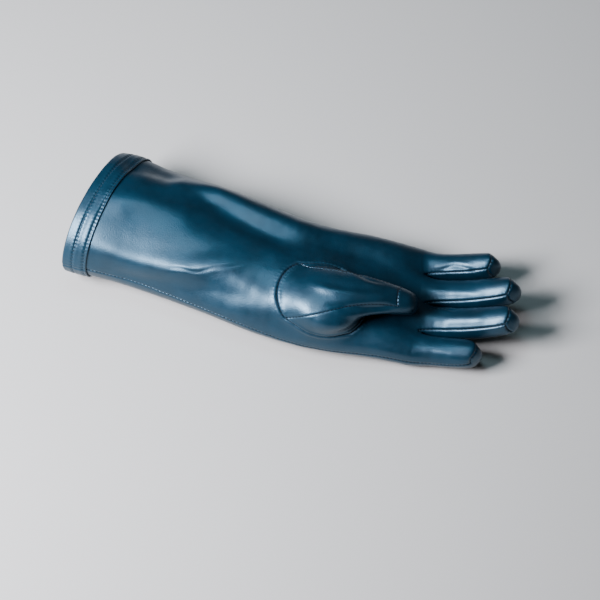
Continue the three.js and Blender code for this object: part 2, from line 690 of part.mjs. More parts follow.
// The hem is a band folded round the cuff's edge, in a U that clears the wall by the seam gap.
// Level is measured along the cuff's outward normal, and back away from the glove.
function hemSolid(fine, normals, rimRows, material) {
  const { edge, middle, end } = rimRows;
  const [outer, outerFace] = [SEAM_GAP + HEM_WALL, SEAM_GAP];
  const [innerFace, inner] = [-WALL - SEAM_GAP, -WALL - SEAM_GAP - HEM_WALL];
  const roll = HEM_WALL * HEM_ROLL;
  const profile = [
    { row: end, level: outer, back: 0 },
    { row: end, level: outerFace, back: 0 },
    { row: middle, level: outerFace, back: 0 },
    { row: edge, level: outerFace, back: SEAM_GAP },
    { row: edge, level: innerFace, back: SEAM_GAP },
    { row: middle, level: innerFace, back: 0 },
    { row: end, level: innerFace, back: 0 },
    { row: end, level: inner, back: 0 },
    { row: edge, level: inner + roll, back: SEAM_GAP + HEM_WALL },
    { row: edge, level: outer - roll, back: SEAM_GAP + HEM_WALL },
    { row: middle, level: outer, back: 0 },
  ];
  const { heading } = centreLine(0);
  const backwards = new THREE.Vector3(-Math.cos(heading), -Math.sin(heading), 0);
  const positions = profile.flatMap(({ row, level, back }) =>
    row.map((vertex) =>
      fine.points[vertex].clone().addScaledVector(normals[vertex], level).addScaledVector(backwards, back),
    ),
  );
  const count = edge.length;
  const triangles = [];
  for (let p = 0; p < profile.length; p++) {
    const [here, next] = [p * count, ((p + 1) % profile.length) * count];
    for (let i = 0; i < count; i++) {
      const ahead = (i + 1) % count;
      triangles.push(...quadTriangles(here + i, next + i, next + ahead, here + ahead));
    }
  }
  return meshOf("cuff_hem", positions, triangles, material);
}

// Follows the fine surface's rows from the open rim inwards: edge, middle of the hem, end of the hem.
function rimRowsOf(fine, cageRows) {
  const neighbours = new Map();
  const join = (a, b) => neighbours.set(a, (neighbours.get(a) ?? new Set()).add(b));
  for (const { corners } of fine.quads) {
    corners.forEach((a, i) => {
      join(a, corners[(i + 1) % 4]);
      join(corners[(i + 1) % 4], a);
    });
  }
  const between = (a, b) => [...neighbours.get(a)].find((vertex) => neighbours.get(b).has(vertex));
  const ringOf = (row) => row.flatMap((vertex, i) => [vertex, between(vertex, row[(i + 1) % row.length])]);
  const [edge, end] = [ringOf(cageRows[0]), ringOf(cageRows[1])];
  const middle = edge.map((vertex, i) =>
    i % 2 === 0
      ? between(vertex, end[i])
      : [...neighbours.get(vertex)].find((v) => neighbours.get(end[i]).has(v)),
  );
  return { edge, middle, end };
}

const rows = buildTube();
const crotchRow = rows.at(-1);
const webs = FINGERS.slice(1).map((_, i) => addPoint(crotchPoint((i + 1) * EDGES_PER_FINGER, 0)));
webs.unshift(crotchRow[ROUND - 1]);
webs.push(crotchRow[FAR_MIDDLE]);
FINGERS.forEach((_, index) => buildFinger(index, crotchRow, webs));
buildThumb(rows);

const fine = subdivide(surface);
const normals = vertexNormals(fine);
const leather = () => new THREE.MeshStandardMaterial({ color: 0x17465c, roughness: 0.42, metalness: 0 });
const glove = new THREE.Group();
for (const name of new Set(fine.quads.map((quad) => quad.panel))) {
  glove.add(panelSolid(fine, normals, name, leather()));
}
glove.add(hemSolid(fine, normals, rimRowsOf(fine, rows), leather()));

const box = new THREE.Box3().setFromObject(glove);
const footprint = box.getCenter(new THREE.Vector3()).setZ(box.min.z);
for (const mesh of glove.children) mesh.geometry.translate(-footprint.x, -footprint.y, -footprint.z);

export default glove;
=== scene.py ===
from functools import partial
from itertools import product
from math import copysign, cos, exp, pi, radians, sin, sqrt

import bpy
import numpy as np
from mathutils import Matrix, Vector, kdtree
from numpy.linalg import norm


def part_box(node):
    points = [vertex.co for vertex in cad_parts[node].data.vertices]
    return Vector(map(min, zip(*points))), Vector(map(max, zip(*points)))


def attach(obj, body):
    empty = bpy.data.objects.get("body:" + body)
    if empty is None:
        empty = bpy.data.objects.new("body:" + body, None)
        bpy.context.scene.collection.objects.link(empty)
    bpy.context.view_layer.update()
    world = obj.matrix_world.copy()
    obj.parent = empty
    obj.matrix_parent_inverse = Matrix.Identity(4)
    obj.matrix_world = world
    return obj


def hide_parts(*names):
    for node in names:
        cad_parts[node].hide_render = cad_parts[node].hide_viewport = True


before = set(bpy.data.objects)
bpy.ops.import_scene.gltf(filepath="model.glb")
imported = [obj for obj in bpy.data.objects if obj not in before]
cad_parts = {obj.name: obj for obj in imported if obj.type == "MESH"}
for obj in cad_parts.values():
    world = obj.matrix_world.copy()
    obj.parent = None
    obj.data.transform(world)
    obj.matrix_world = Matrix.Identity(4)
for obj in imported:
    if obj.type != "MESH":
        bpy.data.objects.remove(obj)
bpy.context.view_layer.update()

# Sizes in millimetres, as in the solids. Lengths run along the centre line from the cuff's edge.
CUFF_LENGTH = 187
PALM_LENGTH = 112
THUMB_SEAM_TO_WRIST = 7
THUMB_HOLE_LENGTH = 68
CUFF_WIDTH = 123
CUFF_HEIGHT = 77
WRIST_WIDTH = 118
WRIST_HEIGHT = 58
PALM_EASE = 3.6
PALM_HEIGHT = 47
RIM_BOW = 3
RIM_SLANT = 12
WRIST_BEND = radians(13)
BEND_LENGTH = 80
FINGER_WIDTH = 26.5
FINGER_DEPTH = 25
FINGER_GAP = 2.1
WEB_RECESS = 2
TIP_ROUNDING = 10
THUMB_LENGTH = 114
THUMB_WIDTH = 26
THUMB_DEPTH = 23
THUMB_CLEARANCE = 3
WALL = 3
SEAM_GAP = 0.3
HEM_WIDTH = 17
HEM_WALL = 1.4
SOLE_SINK = 1.5
FINGER_COUNT = 4
FINGER_PITCH = FINGER_WIDTH + FINGER_GAP
PALM_WIDTH = FINGER_COUNT * FINGER_PITCH + PALM_EASE
WRIST = CUFF_LENGTH
CROTCH = CUFF_LENGTH + PALM_LENGTH
SEAM_START = WRIST - THUMB_SEAM_TO_WRIST
HEM_LIFT = HEM_WALL + 2 * SEAM_GAP


def named_rows(columns, *rows):
    return [dict(zip(columns.split(), row)) for row in rows]


# The main tube's sections; shift is a share of the width.
STATIONS = named_rows(
    "along width height shift side crown sole lift",
    (0, CUFF_WIDTH * 0.98, CUFF_HEIGHT * 0.96, -0.025, 0.43, 2.1, 2.3, HEM_LIFT),
    (HEM_WIDTH, CUFF_WIDTH, CUFF_HEIGHT * 0.98, -0.008, 0.43, 2.1, 2.4, HEM_LIFT),
    (WRIST * 0.3, CUFF_WIDTH * 0.96, CUFF_HEIGHT * 0.91, 0.025, 0.42, 2.1, 2.5, 0),
    (WRIST * 0.65, CUFF_WIDTH * 0.96, WRIST_HEIGHT * 1.12, 0.013, 0.42, 2.15, 2.5, 0),
    (WRIST, WRIST_WIDTH, WRIST_HEIGHT, -0.013, 0.42, 2.3, 2.7, 0),
    (WRIST + PALM_LENGTH * 0.5, PALM_WIDTH, PALM_HEIGHT, 0, 0.42, 2.6, 3, 0),
    (CROTCH, PALM_WIDTH * 0.96, PALM_HEIGHT * 0.72, -0.014, 0.48, 3, 3.4, 0),
)

# Dents of the upper half, ridges where negative: breadth and depth in CUFF_WIDTHs, then a path.
DENTS = [
    (0.065, 0.057, [(0.26, 0.8), (0.46, 0.555), (0.86, 0.575), (1.22, 0.645), (1.65, 0.6)]),
    (0.065, -0.033, [(0.4, 0.73), (0.98, 0.7)]),
    (0.049, 0.037, [(0.26, 0.8), (0.28, 0.97)]),
    (0.073, 0.033, [(0.54, 0.05), (0.95, 0.09)]),
    (0.146, 0.065, [(1.35, 0.33), (1.9, 0.42)]),
]

FINGERS = named_rows(
    "name length width root_back spread pitch",
    ("index", 57, 0.98, 0.027, -1.5, (3, 14)),
    ("middle", 85, 1.05, 0, -0.5, (4, 34)),
    ("ring", 84, 1, 0.018, 1, (4, 34)),
    ("little", 68, 0.9, 0.08, 0.8, (3, 30)),
)
# A finger's rings: share of its length up to the tip and then of the tip, girth, nose.
FINGER_LOOPS = [(0.18, 1, 0), (0.56, 0.985, 0), (1, 0.97, 1), (1.5, 0.8, 0.7)]
TIP_END_GIRTH, TIP_END_ACROSS, TIP_END_FORWARD = 0.34, 0.6, 3.4
*THUMB_LOOPS, THUMB_END = named_rows(
    "dorsal ventral rise lateral girth",
    (0.12, -0.03, 0.86, -0.51, 2.32),
    (0.28, -0.01, 1.02, -0.46, 2),
    (0.46, 0.1, 1.1, -0.4, 1.54),
    (0.66, 0.35, 1.06, -0.33, 1.17),
    (0.86, 0.76, 0.96, -0.29, 0.92),
    (0.96, 0.93, 0.82, -0.275, 0.7),
    (1, 0.99, 0.72, -0.275, 0.4),
)
THUMB_END_HIGH = 0.34

EDGES_PER_FINGER = 3
EDGES_PER_SIDE = 2
TOP_EDGES = FINGER_COUNT * EDGES_PER_FINGER
ROUND = 2 * (TOP_EDGES + EDGES_PER_SIDE)
HALF_ROUND = ROUND // 2
FAR_MIDDLE = TOP_EDGES + EDGES_PER_SIDE // 2
HOLE_ROW, HOLE_ROWS, HOLE_PLACE, HOLE_PLACES = 6, 3, 1, 5
HOLE_REACH, HOLE_STRETCH, HOLE_SHIFT = 2.2, 0.3, 0.25
SECTION_STEPS = 48
GIRTH_SHARE = 1.25
FINGER_SIDES = 2 * (EDGES_PER_FINGER + EDGES_PER_SIDE)
CROWN_RISE = sin(pi * (0.5 - 1 / FINGER_SIDES))
CORNER_RISE = sin(pi * (0.5 - 3 / FINGER_SIDES))
FINE_LEVELS = 4


def clamp(value, low, high):
    return min(max(value, low), high)


def lerp(a, b, t):
    return a + (b - a) * t


def ease(values):
    """From 0 to 1 with a soft start and end."""
    t = np.clip(values, 0, 1)
    return t * t * (3 - 2 * t)


def fading(distance, reach):
    return np.exp(-((distance / reach) ** 2))


def level_directions(heading):
    """The level direction of a heading, and the one to its left."""
    return np.array([cos(heading), sin(heading), 0]), np.array([-sin(heading), cos(heading), 0])


def towards(azimuth, elevation):
    """The direction to a place at some degrees from the front and up."""
    a, e = radians(azimuth), radians(elevation)
    return np.array([sin(a) * cos(e), -cos(a) * cos(e), sin(e)])


def unit(vectors):
    """The same directions with length 1."""
    return vectors / norm(vectors, axis=-1, keepdims=True).clip(1e-9)


def run_of(points):
    """How far along a line each of its points is."""
    return np.concatenate([[0], np.cumsum(norm(np.diff(points, axis=0), axis=1))])


def station_value(key, along):
    last = len(STATIONS) - 1
    i = 0
    while i < last - 1 and along > STATIONS[i + 1]["along"]:
        i += 1
    a, b = STATIONS[i], STATIONS[i + 1]
    before, after = STATIONS[max(i - 1, 0)], STATIONS[min(i + 2, last)]
    span = b["along"] - a["along"]
    slope_a = (b[key] - before[key]) / (b["along"] - before["along"]) * span
    slope_b = (after[key] - a[key]) / (after["along"] - a["along"]) * span
    s = clamp((along - a["along"]) / span, 0, 1)
    s2, s3 = s * s, s * s * s
    start = (2 * s3 - 3 * s2 + 1) * a[key] + (s3 - 2 * s2 + s) * slope_a
    return start + (3 * s2 - 2 * s3) * b[key] + (s3 - s2) * slope_b


def centre_line(along):
    bend_start = WRIST - BEND_LENGTH / 2
    turn = clamp((along - bend_start) / BEND_LENGTH, 0, 1)
    first = -WRIST_BEND / 2
    radius = BEND_LENGTH / WRIST_BEND
    heading = first + turn * WRIST_BEND
    before = min(along, bend_start)
    after = max(along - bend_start - BEND_LENGTH, 0)
    x = before * cos(first) + radius * (sin(heading) - sin(first))
    y = before * sin(first) - radius * (cos(heading) - cos(first))
    return x + after * cos(heading), y + after * sin(heading), heading


def place(along, lateral, height):
    x, y, heading = centre_line(along)
    return np.array([x - lateral * sin(heading), y + lateral * cos(heading), height])


def along_of_share(share):
    return share * CUFF_LENGTH if share <= 1 else CUFF_LENGTH + (share - 1) * PALM_LENGTH


def distance_to_leg(along, across, start, end, girth):
    leg_start, leg_end = along_of_share(start[0]), along_of_share(end[0])
    leg = np.array([leg_end - leg_start, (end[1] - start[1]) * girth])
    offset = np.array([along - leg_start, (across - start[1]) * girth])
    run = clamp(offset @ leg / (leg @ leg), 0, 1)
    return norm(offset - leg * run)


def dent_depth(along, across):
    girth = station_value("width", along) * GIRTH_SHARE
    total = 0
    for breadth, depth, path in DENTS:
        legs = [distance_to_leg(along, across, a, b, girth) for a, b in zip(path, path[1:])]
        share = min(legs) / (breadth * CUFF_WIDTH)
        total += depth * CUFF_WIDTH * exp(-share * share / 2)
    return total


def power(value, exponent):
    return copysign(abs(value) ** exponent, value)


def half_section(along, upper):
    width = station_value("width", along)
    height = station_value("height", along)
    side = height * station_value("side", along)
    lift = max(station_value("lift", along), 0)
    middle = width * station_value("shift", along)
    exponent = 2 / station_value("crown" if upper else "sole", along)
    reach = height - side if upper else side - lift + SOLE_SINK
    points = []
    for i in range(SECTION_STEPS + 1):
        angle = pi * (1 - i / SECTION_STEPS)
        c, s = cos(angle), max(sin(angle), 0)
        depth = dent_depth(along, i / SECTION_STEPS) * sqrt(s) if upper else 0
        lateral = middle + (width / 2) * power(c, exponent) - depth * c
        rise = reach * power(s, exponent) - depth * s
        points.append((lateral, side + rise if upper else max(side - rise, lift)))
    return points


def point_at_share(points, share):
    run = run_of(points)
    return [np.interp(share * run[-1], run, values) for values in zip(*points)]


def tube_point(along, across):
    from_near = (across + EDGES_PER_SIDE / 2) % ROUND
    upper = from_near <= HALF_ROUND
    share = from_near / HALF_ROUND if upper else (ROUND - from_near) / HALF_ROUND
    lateral, height = point_at_share(half_section(along, upper), share)
    bow = RIM_BOW * sin(pi * share) if upper else 0
    near_rim = 1 - ease((along - HEM_WIDTH) / (CUFF_LENGTH / 2 - HEM_WIDTH))
    return place(along + near_rim * (RIM_SLANT * (share - 0.5) - bow), lateral, height)


def top_height(along, lateral):
    laterals, heights = zip(*half_section(along, True))
    return np.interp(lateral, laterals, heights)


def rounded_hole(along, across):
    half_length = THUMB_HOLE_LENGTH / 2
    half_places = HOLE_PLACES / 2
    middle = HOLE_PLACE + half_places
    signed = across - ROUND if across > middle + HALF_ROUND else across
    a = (along - SEAM_START - half_length) / half_length
    b = (signed - middle) / half_places
    square = max(abs(a), abs(b))
    if square >= HOLE_REACH or square == 0:
        return along, across
    fade = clamp((HOLE_REACH - square) / (HOLE_REACH - 1), 0, 1)
    ua, ub = a / square, b / square
    shift_a = (ua * sqrt(1 - ub * ub / 2) - ua) * square * fade
    shift_b = (ub * sqrt(1 - ua * ua / 2) - ub) * square * fade
    wide = (b + shift_b) * (1 + HOLE_STRETCH * fade)
    return along + shift_a * half_length, middle + wide * half_places - HOLE_SHIFT * fade


# The cage: each point also holds its row and its turn on the tube, each quad a panel and a region.
FINGER_NAMES = [finger["name"] for finger in FINGERS]
FINGER_PAIRS = [f"{a}_{b}" for a, b in zip(FINGER_NAMES, FINGER_NAMES[1:])]
FOURCHETTES = [f"fourchette_{pair}" for pair in FINGER_PAIRS]
PANELS = ["palm_panel", "back_panel", *FOURCHETTES, "thumb_top", "thumb_under"]
REGIONS = ["tube", *FINGER_NAMES, "thumb"]
OFF_TUBE = 99
cage_points = []
cage_quads = []
quad_panels = []
quad_regions = []
region = "tube"


def add_point(point, row=OFF_TUBE, turn=0):
    cage_points.append([*point, row, cos(turn), sin(turn)])
    return len(cage_points) - 1


def add_quad(panel, *corners):
    cage_quads.append(corners)
    quad_panels.append(PANELS.index(panel))
    quad_regions.append(REGIONS.index(region))


def add_band(inner, outer, panel_at):
    for i in range(len(inner)):
        n = (i + 1) % len(inner)
        add_quad(panel_at(i), inner[i], outer[i], outer[n], inner[n])


def add_cap(columns, panel):
    for left, right in zip(columns, columns[1:]):
        for k in range(len(left) - 1):
            add_quad(panel, left[k], left[k + 1], right[k + 1], right[k])


def finger_lateral(index):
    return (index - (FINGER_COUNT - 1) / 2) * FINGER_PITCH


def cage_growth(sides):
    """How much wider a cage's ring is than the round form that it gives."""
    return 3 / (2 + cos(2 * pi / sides))


HALF_DEPTH = FINGER_DEPTH / 2 * cage_growth(FINGER_SIDES)
AXIS_HEIGHT = HALF_DEPTH * CROWN_RISE


def crotch_along(index):
    return CROTCH - FINGERS[index]["root_back"] * PALM_LENGTH


def crotch_point(column, level):
    index = min(column // EDGES_PER_FINGER, FINGER_COUNT - 1)
    corner = column - index * EDGES_PER_FINGER
    at_edge = corner in (0, EDGES_PER_FINGER)
    shared = at_edge and 0 < column < TOP_EDGES
    root = (crotch_along(index) + crotch_along(index - 1)) / 2 if shared else crotch_along(index)
    lateral = finger_lateral(index) + (corner / EDGES_PER_FINGER - 0.5) * FINGER_PITCH
    rise = level * HALF_DEPTH * (CORNER_RISE if at_edge else CROWN_RISE)
    return place(root - (WEB_RECESS if level == 0 else 0), lateral, AXIS_HEIGHT + rise)


HOLE_END_ROW = HOLE_ROW + HOLE_ROWS
GAUNTLET_ROWS, KNUCKLE_ROW = (0.21, 0.41, 0.61, 0.81), 0.48
ROWS = [0, HEM_WIDTH]
ROWS += [lerp(HEM_WIDTH, SEAM_START, share) for share in GAUNTLET_ROWS]
ROWS += [SEAM_START + i / HOLE_ROWS * THUMB_HOLE_LENGTH for i in range(HOLE_ROWS + 1)]
ROWS += [lerp(SEAM_START + THUMB_HOLE_LENGTH, CROTCH, KNUCKLE_ROW), CROTCH]


def tube_cage_point(row, across):
    turn = 2 * pi * across / ROUND
    far_corner, near_corner = TOP_EDGES + EDGES_PER_SIDE, ROUND - EDGES_PER_SIDE
    if row < len(ROWS) - 1:
        point = tube_point(*rounded_hole(ROWS[row], across))
    elif across <= TOP_EDGES:
        point = crotch_point(across, 1)
    elif across < far_corner:
        point = crotch_point(TOP_EDGES, 0)
    elif across <= near_corner:
        point = crotch_point(near_corner - across, -1)
    else:
        point = crotch_point(0, 0)
    return add_point(point, row, turn)


def build_tube():
    rows = [[tube_cage_point(row, q) for q in range(ROUND)] for row in range(len(ROWS))]
    for row in range(len(ROWS) - 1):
        for across in range(ROUND):
            in_hole_rows = HOLE_ROW <= row < HOLE_END_ROW
            if in_hole_rows and HOLE_PLACE <= across < HOLE_PLACE + HOLE_PLACES:
                continue
            n = (across + 1) % ROUND
            panel = "palm_panel" if across <= TOP_EDGES or across == ROUND - 1 else "back_panel"
            add_quad(panel, rows[row][across], rows[row + 1][across], rows[row + 1][n], rows[row][n])
    return rows


def section(centre, aside, up, ahead):
    """Places round a centre, in shares of its half width and half depth, and how far ahead."""
    return lambda across, high, forward=0: centre + aside * across + up * high + ahead * forward


def finger_section(index, distance, girth):
    """A section of a finger at a distance from its root, along an axis that bends up."""
    finger = FINGERS[index]
    pitch0, pitch1 = (radians(p) for p in finger["pitch"])
    bend = (pitch1 - pitch0) / finger["length"]
    pitch = pitch0 + bend * distance
    run = (sin(pitch) - sin(pitch0)) / bend
    rise = (cos(pitch0) - cos(pitch)) / bend
    ahead, aside = level_directions(centre_line(CROTCH)[2] + radians(finger["spread"]))
    lift = np.array([0, 0, 1])
    up = lift * cos(pitch) - ahead * sin(pitch)
    along = ahead * cos(pitch) + lift * sin(pitch)
    centre = place(crotch_along(index), finger_lateral(index), AXIS_HEIGHT + rise) + ahead * run
    half = FINGER_WIDTH / 2 * finger["width"] * girth * cage_growth(FINGER_SIDES)
    return section(centre, aside * half, up * HALF_DEPTH * girth, along)


def add_ring(at, sides, top_sides, nose=0):
    """A ring of points round a section; a nose carries its top and its foot ahead."""
    ring = []
    for i in range(sides):
        angle = pi * (0.5 - 2 * (i - top_sides / 2) / sides)
        forward = nose * (abs(sin(angle)) - CORNER_RISE)
        ring.append(add_point(at(cos(angle), sin(angle), forward)))
    return ring


def build_finger(index, crotch_row, webs):
    global region
    finger = FINGERS[index]
    region = finger["name"]
    first = index * EDGES_PER_FINGER
    under = ROUND - EDGES_PER_SIDE - first
    top = crotch_row[first : first + EDGES_PER_FINGER + 1]
    sole = crotch_row[under - EDGES_PER_FINGER : under + 1]
    back_start = EDGES_PER_FINGER + EDGES_PER_SIDE
    back_end = back_start + EDGES_PER_FINGER

    def panel_at(i):
        if i < EDGES_PER_FINGER:
            return "palm_panel"
        if i < back_start and index + 1 < FINGER_COUNT:
            return FOURCHETTES[index]
        if i >= back_end and index > 0:
            return FOURCHETTES[index - 1]
        return "palm_panel" if i in (EDGES_PER_FINGER, FINGER_SIDES - 1) else "back_panel"

    tip_start = finger["length"] - TIP_ROUNDING
    inner = [*top, webs[index + 1], *sole, webs[index]]
    for share, girth, nose in FINGER_LOOPS:
        distance = min(share, 1) * tip_start + max(share - 1, 0) * TIP_ROUNDING
        at = finger_section(index, distance, girth)
        outer = add_ring(at, FINGER_SIDES, EDGES_PER_FINGER, nose * TIP_ROUNDING)
        add_band(inner, outer, panel_at)
        inner = outer
    at = finger_section(index, finger["length"], TIP_END_GIRTH)
    near_end, far_end = (
        add_point(at(side * TIP_END_ACROSS, 0, TIP_END_FORWARD)) for side in (-1, 1)
    )
    near, far = [outer[0], outer[-1], outer[-2]], outer[3:6]
    middles = [outer[1], near_end, outer[-3]], [outer[2], far_end, outer[-4]]
    add_cap([near, *middles, far], "back_panel")


def thumb_section(row, count):
    side = row["lateral"] * (PALM_WIDTH / 2)
    hole_end = SEAM_START + THUMB_HOLE_LENGTH
    tip_along = SEAM_START + THUMB_LENGTH
    ventral = lerp(hole_end, tip_along, row["ventral"])
    dorsal = lerp(SEAM_START, tip_along, row["dorsal"])
    spots = [side + s * THUMB_WIDTH for s in (-0.5, 0, 0.5)]
    low = max(top_height(max(ventral, hole_end), spot) for spot in spots) + THUMB_CLEARANCE
    bottom = place(ventral, side, low)
    top = place(dorsal, side, low + row["rise"] * THUMB_DEPTH)
    centre = (bottom + top) / 2
    up = (top - bottom) * 0.5 * cage_growth(count)
    ahead, aside = level_directions(centre_line(ventral)[2])
    aside = aside * (THUMB_WIDTH / 2) * row["girth"] * cage_growth(count)
    return section(centre, aside, up, ahead)


def build_thumb(rows):
    global region
    region = "thumb"
    last_place = HOLE_PLACE + HOLE_PLACES
    hole = [rows[HOLE_ROW][q] for q in range(HOLE_PLACE, last_place)]
    hole += [rows[row][last_place] for row in range(HOLE_ROW, HOLE_END_ROW)]
    hole += [rows[HOLE_END_ROW][q] for q in range(last_place, HOLE_PLACE, -1)]
    hole += [rows[row][HOLE_PLACE] for row in range(HOLE_END_ROW, HOLE_ROW, -1)]
    count = len(hole)
    ring = hole
    for row in THUMB_LOOPS:
        outer = add_ring(thumb_section(row, count), count, HOLE_PLACES)
        top_places = 0 if row is THUMB_LOOPS[-1] else HOLE_PLACES
        add_band(ring, outer, lambda i: "thumb_top" if i < top_places else "thumb_under")
        ring = outer
    at = thumb_section(THUMB_END, count)
    columns = [[ring[0], ring[-1], ring[-2], ring[-3]]]
    for j in range(1, HOLE_PLACES):
        w = 2 * j / HOLE_PLACES - 1
        between = [add_point(at(w, high)) for high in (THUMB_END_HIGH, -THUMB_END_HIGH)]
        columns.append([ring[j], *between, ring[-HOLE_ROWS - j]])
    columns.append(ring[HOLE_PLACES : HOLE_PLACES + HOLE_ROWS + 1])
    add_cap(columns, "thumb_under")


tube_rows = build_tube()
crotch_row = tube_rows[-1]
webs = [add_point(crotch_point((i + 1) * EDGES_PER_FINGER, 0)) for i in range(FINGER_COUNT - 1)]
webs = [crotch_row[ROUND - 1], *webs, crotch_row[FAR_MIDDLE]]
for finger_index in range(FINGER_COUNT):
    build_finger(finger_index, crotch_row, webs)
build_thumb(tube_rows)


def directed_edges(quads):
    return np.stack([quads, np.roll(quads, -1, axis=1)], axis=2).reshape(-1, 2)


def by_edge(quads, values):
    """One value for each directed edge of the quads, under its two ends."""
    return dict(zip(map(tuple, directed_edges(quads).tolist()), values.tolist()))


def summed(count, index, values):
    """Each row of values added to all the points that its row of indexes names."""
    total = np.zeros((count, values.shape[1]))
    for column in index.T:
        np.add.at(total, column, values)
    return total


def subdivide(points, quads):
    """One Catmull-Clark step. Old points come first, then edge points, then face centres."""
    count = len(points)
    pairs = np.sort(directed_edges(quads), axis=1)
    edges, edge_of, uses = np.unique(pairs, axis=0, return_inverse=True, return_counts=True)
    edge_of = edge_of.reshape(quads.shape)
    centres = points[quads].mean(axis=1)
    ends = points[edges].sum(axis=1)
    inner = (uses == 2)[:, None]
    face_sum = summed(len(edges), edge_of, centres)
    edge_points = np.where(inner, (ends + face_sum) / 4, ends / 2)
    n = summed(count, edges, np.ones((len(edges), 1)))
    face_mean = summed(count, quads, centres) / summed(count, quads, np.ones((len(quads), 1)))
    middle_mean = summed(count, edges, ends / 2) / n
    moved = (face_mean + 2 * middle_mean + (n - 3) * points) / n
    rim = edges[uses == 1]
    rim_mean = summed(count, rim[:, :1], points[rim[:, 1]] / 2)
    rim_mean += summed(count, rim[:, 1:], points[rim[:, 0]] / 2)
    on_rim = np.isin(np.arange(count), rim)[:, None]
    moved = np.where(on_rim, 0.75 * points + 0.25 * rim_mean, moved)
    middles = count + edge_of
    face_ids = count + len(edges) + np.arange(len(quads))
    parts = [
        np.stack([quads[:, k], middles[:, k], face_ids, middles[:, k - 1]], axis=1)
        for k in range(4)
    ]
    return np.concatenate([moved, edge_points, centres]), np.stack(parts, axis=1).reshape(-1, 4)


def normals_of(points, quads):
    a, b, c, d = (points[quads[:, k]] for k in range(4))
    return unit(summed(len(points), quads, np.cross(c - a, d - b)))


used, corners = np.unique(np.array(cage_quads), return_inverse=True)
levels = [(np.array(cage_points)[used], corners.reshape(-1, 4))]
for _ in range(FINE_LEVELS):
    levels.append(subdivide(*levels[-1]))
quad_panels = np.array(quad_panels)
quad_regions = np.array(quad_regions)


def per_quad(values, level):
    return np.repeat(values, 4**level)


# The shift from the cage to the frame, found from the box of the thumb's under side.
solid_points, solid_quads = levels[1][0][:, :3], levels[1][1]
solid_panels = per_quad(quad_panels, 1)
thumb_points = solid_points[solid_quads[solid_panels == PANELS.index("thumb_under")].ravel()]
thumb_low, thumb_high = (np.array(corner) * 1000 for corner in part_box("thumb_under"))
low_shift, high_shift = thumb_low - thumb_points.min(0), thumb_high - thumb_points.max(0)
shift = np.array([high_shift[0], low_shift[1], high_shift[2]])

fine_points, fine_quads = levels[-1]
places = fine_points[:, 3:]
skin = fine_points[:, :3] + shift
normals = normals_of(skin, fine_quads)
panel_of = per_quad(quad_panels, FINE_LEVELS)
region_of = per_quad(quad_regions, FINE_LEVELS)

# Directions of the view that the folds are placed in: its right, its up and back to the camera.
VIEW_AZIMUTH, VIEW_ELEVATION = 16, 56
PIXELS_PER_MM = 1.16
VIEW_MIDDLE = (298.3, 288.3)  # where the frame's origin is seen, of 600 x 600
right = level_directions(radians(VIEW_AZIMUTH))[0]
back = towards(VIEW_AZIMUTH, VIEW_ELEVATION)
up = np.cross(back, right)
seen = np.stack([skin @ right, skin @ up, skin @ back], axis=1)
NOISE_GAIN = 1.6


def perlin(seed):
    """A smooth noise of about -1 to 1 over points in space."""
    random = np.random.default_rng(seed)
    order = random.permutation(256)
    slopes = unit(random.normal(size=(256, 3)))

    def noise(points):
        cell = np.floor(points).astype(int)
        part = points - cell
        fade = part**3 * (part * (part * 6 - 15) + 10)
        total = np.zeros(len(points))
        for corner in product((0, 1), repeat=3):
            index = 0
            for k in range(3):
                index = order[(index + cell[:, k] + corner[k]) & 255]
            weight = np.prod(np.where(corner, fade, 1 - fade), axis=1)
            total += weight * ((part - corner) * slopes[index]).sum(axis=1)
        return total * NOISE_GAIN

    return noise


SPOT_REACH, SPOT_SLACK = 1.5, 0.3


def spot_on_skin(u, v, name):
    """The fine skin's vertex that is seen at a place of the view, of the nearest to the camera."""
    r, q = (u - VIEW_MIDDLE[0]) / PIXELS_PER_MM, (VIEW_MIDDLE[1] - v) / PIXELS_PER_MM
    off = np.hypot(seen[:, 0] - r, seen[:, 1] - q)
    allowed = vertex_region == REGIONS.index(name)
    near = allowed & (off < max(SPOT_REACH, off[allowed].min() + SPOT_SLACK))
    return np.flatnonzero(near)[np.argmax((seen[:, 2] - off)[near])]


def smooth_path(points, steps=6):
    """Catmull-Rom samples through a path's points, and how far along it each one is, from 0 to 1."""
    padded = np.concatenate([[2 * points[0] - points[1]], points, [2 * points[-1] - points[-2]]])
    out = []
    for a, b, c, d in zip(padded, padded[1:], padded[2:], padded[3:]):
        for t in np.arange(steps) / steps:
            out.append(
                0.5 * (2 * b + (c - a) * t + (2 * a - 5 * b + 4 * c - d) * t**2
                       + (3 * b - a - 3 * c + d) * t**3)
            )
    run = run_of([*out, points[-1]])
    return np.array([*out, points[-1]]), run / run[-1]


def skin_round(points, reach):
    """Skin vertices in the box of some points, widened by a reach."""
    low, high = points.min(0) - reach, points.max(0) + reach
    return np.flatnonzero(((skin > low) & (skin < high)).all(axis=1))


def near_path(path, shares, reach):
    """Skin vertices within reach of a path, their distances from it and their places along it."""
    close = skin_round(path, reach)
    best = np.full(len(close), 1e9)
    where = np.zeros(len(close))
    points = skin[close]
    for a, b, share_a, share_b in zip(path, path[1:], shares, shares[1:]):
        leg = b - a
        t = ((points - a) @ leg / max(leg @ leg, 1e-9)).clip(0, 1)
        distance = norm(points - a - t[:, None] * leg, axis=1)
        closer = distance < best
        best = np.where(closer, distance, best)
        where = np.where(closer, share_a + (share_b - share_a) * t, where)
    within = best < reach
    return close[within], best[within], where[within]


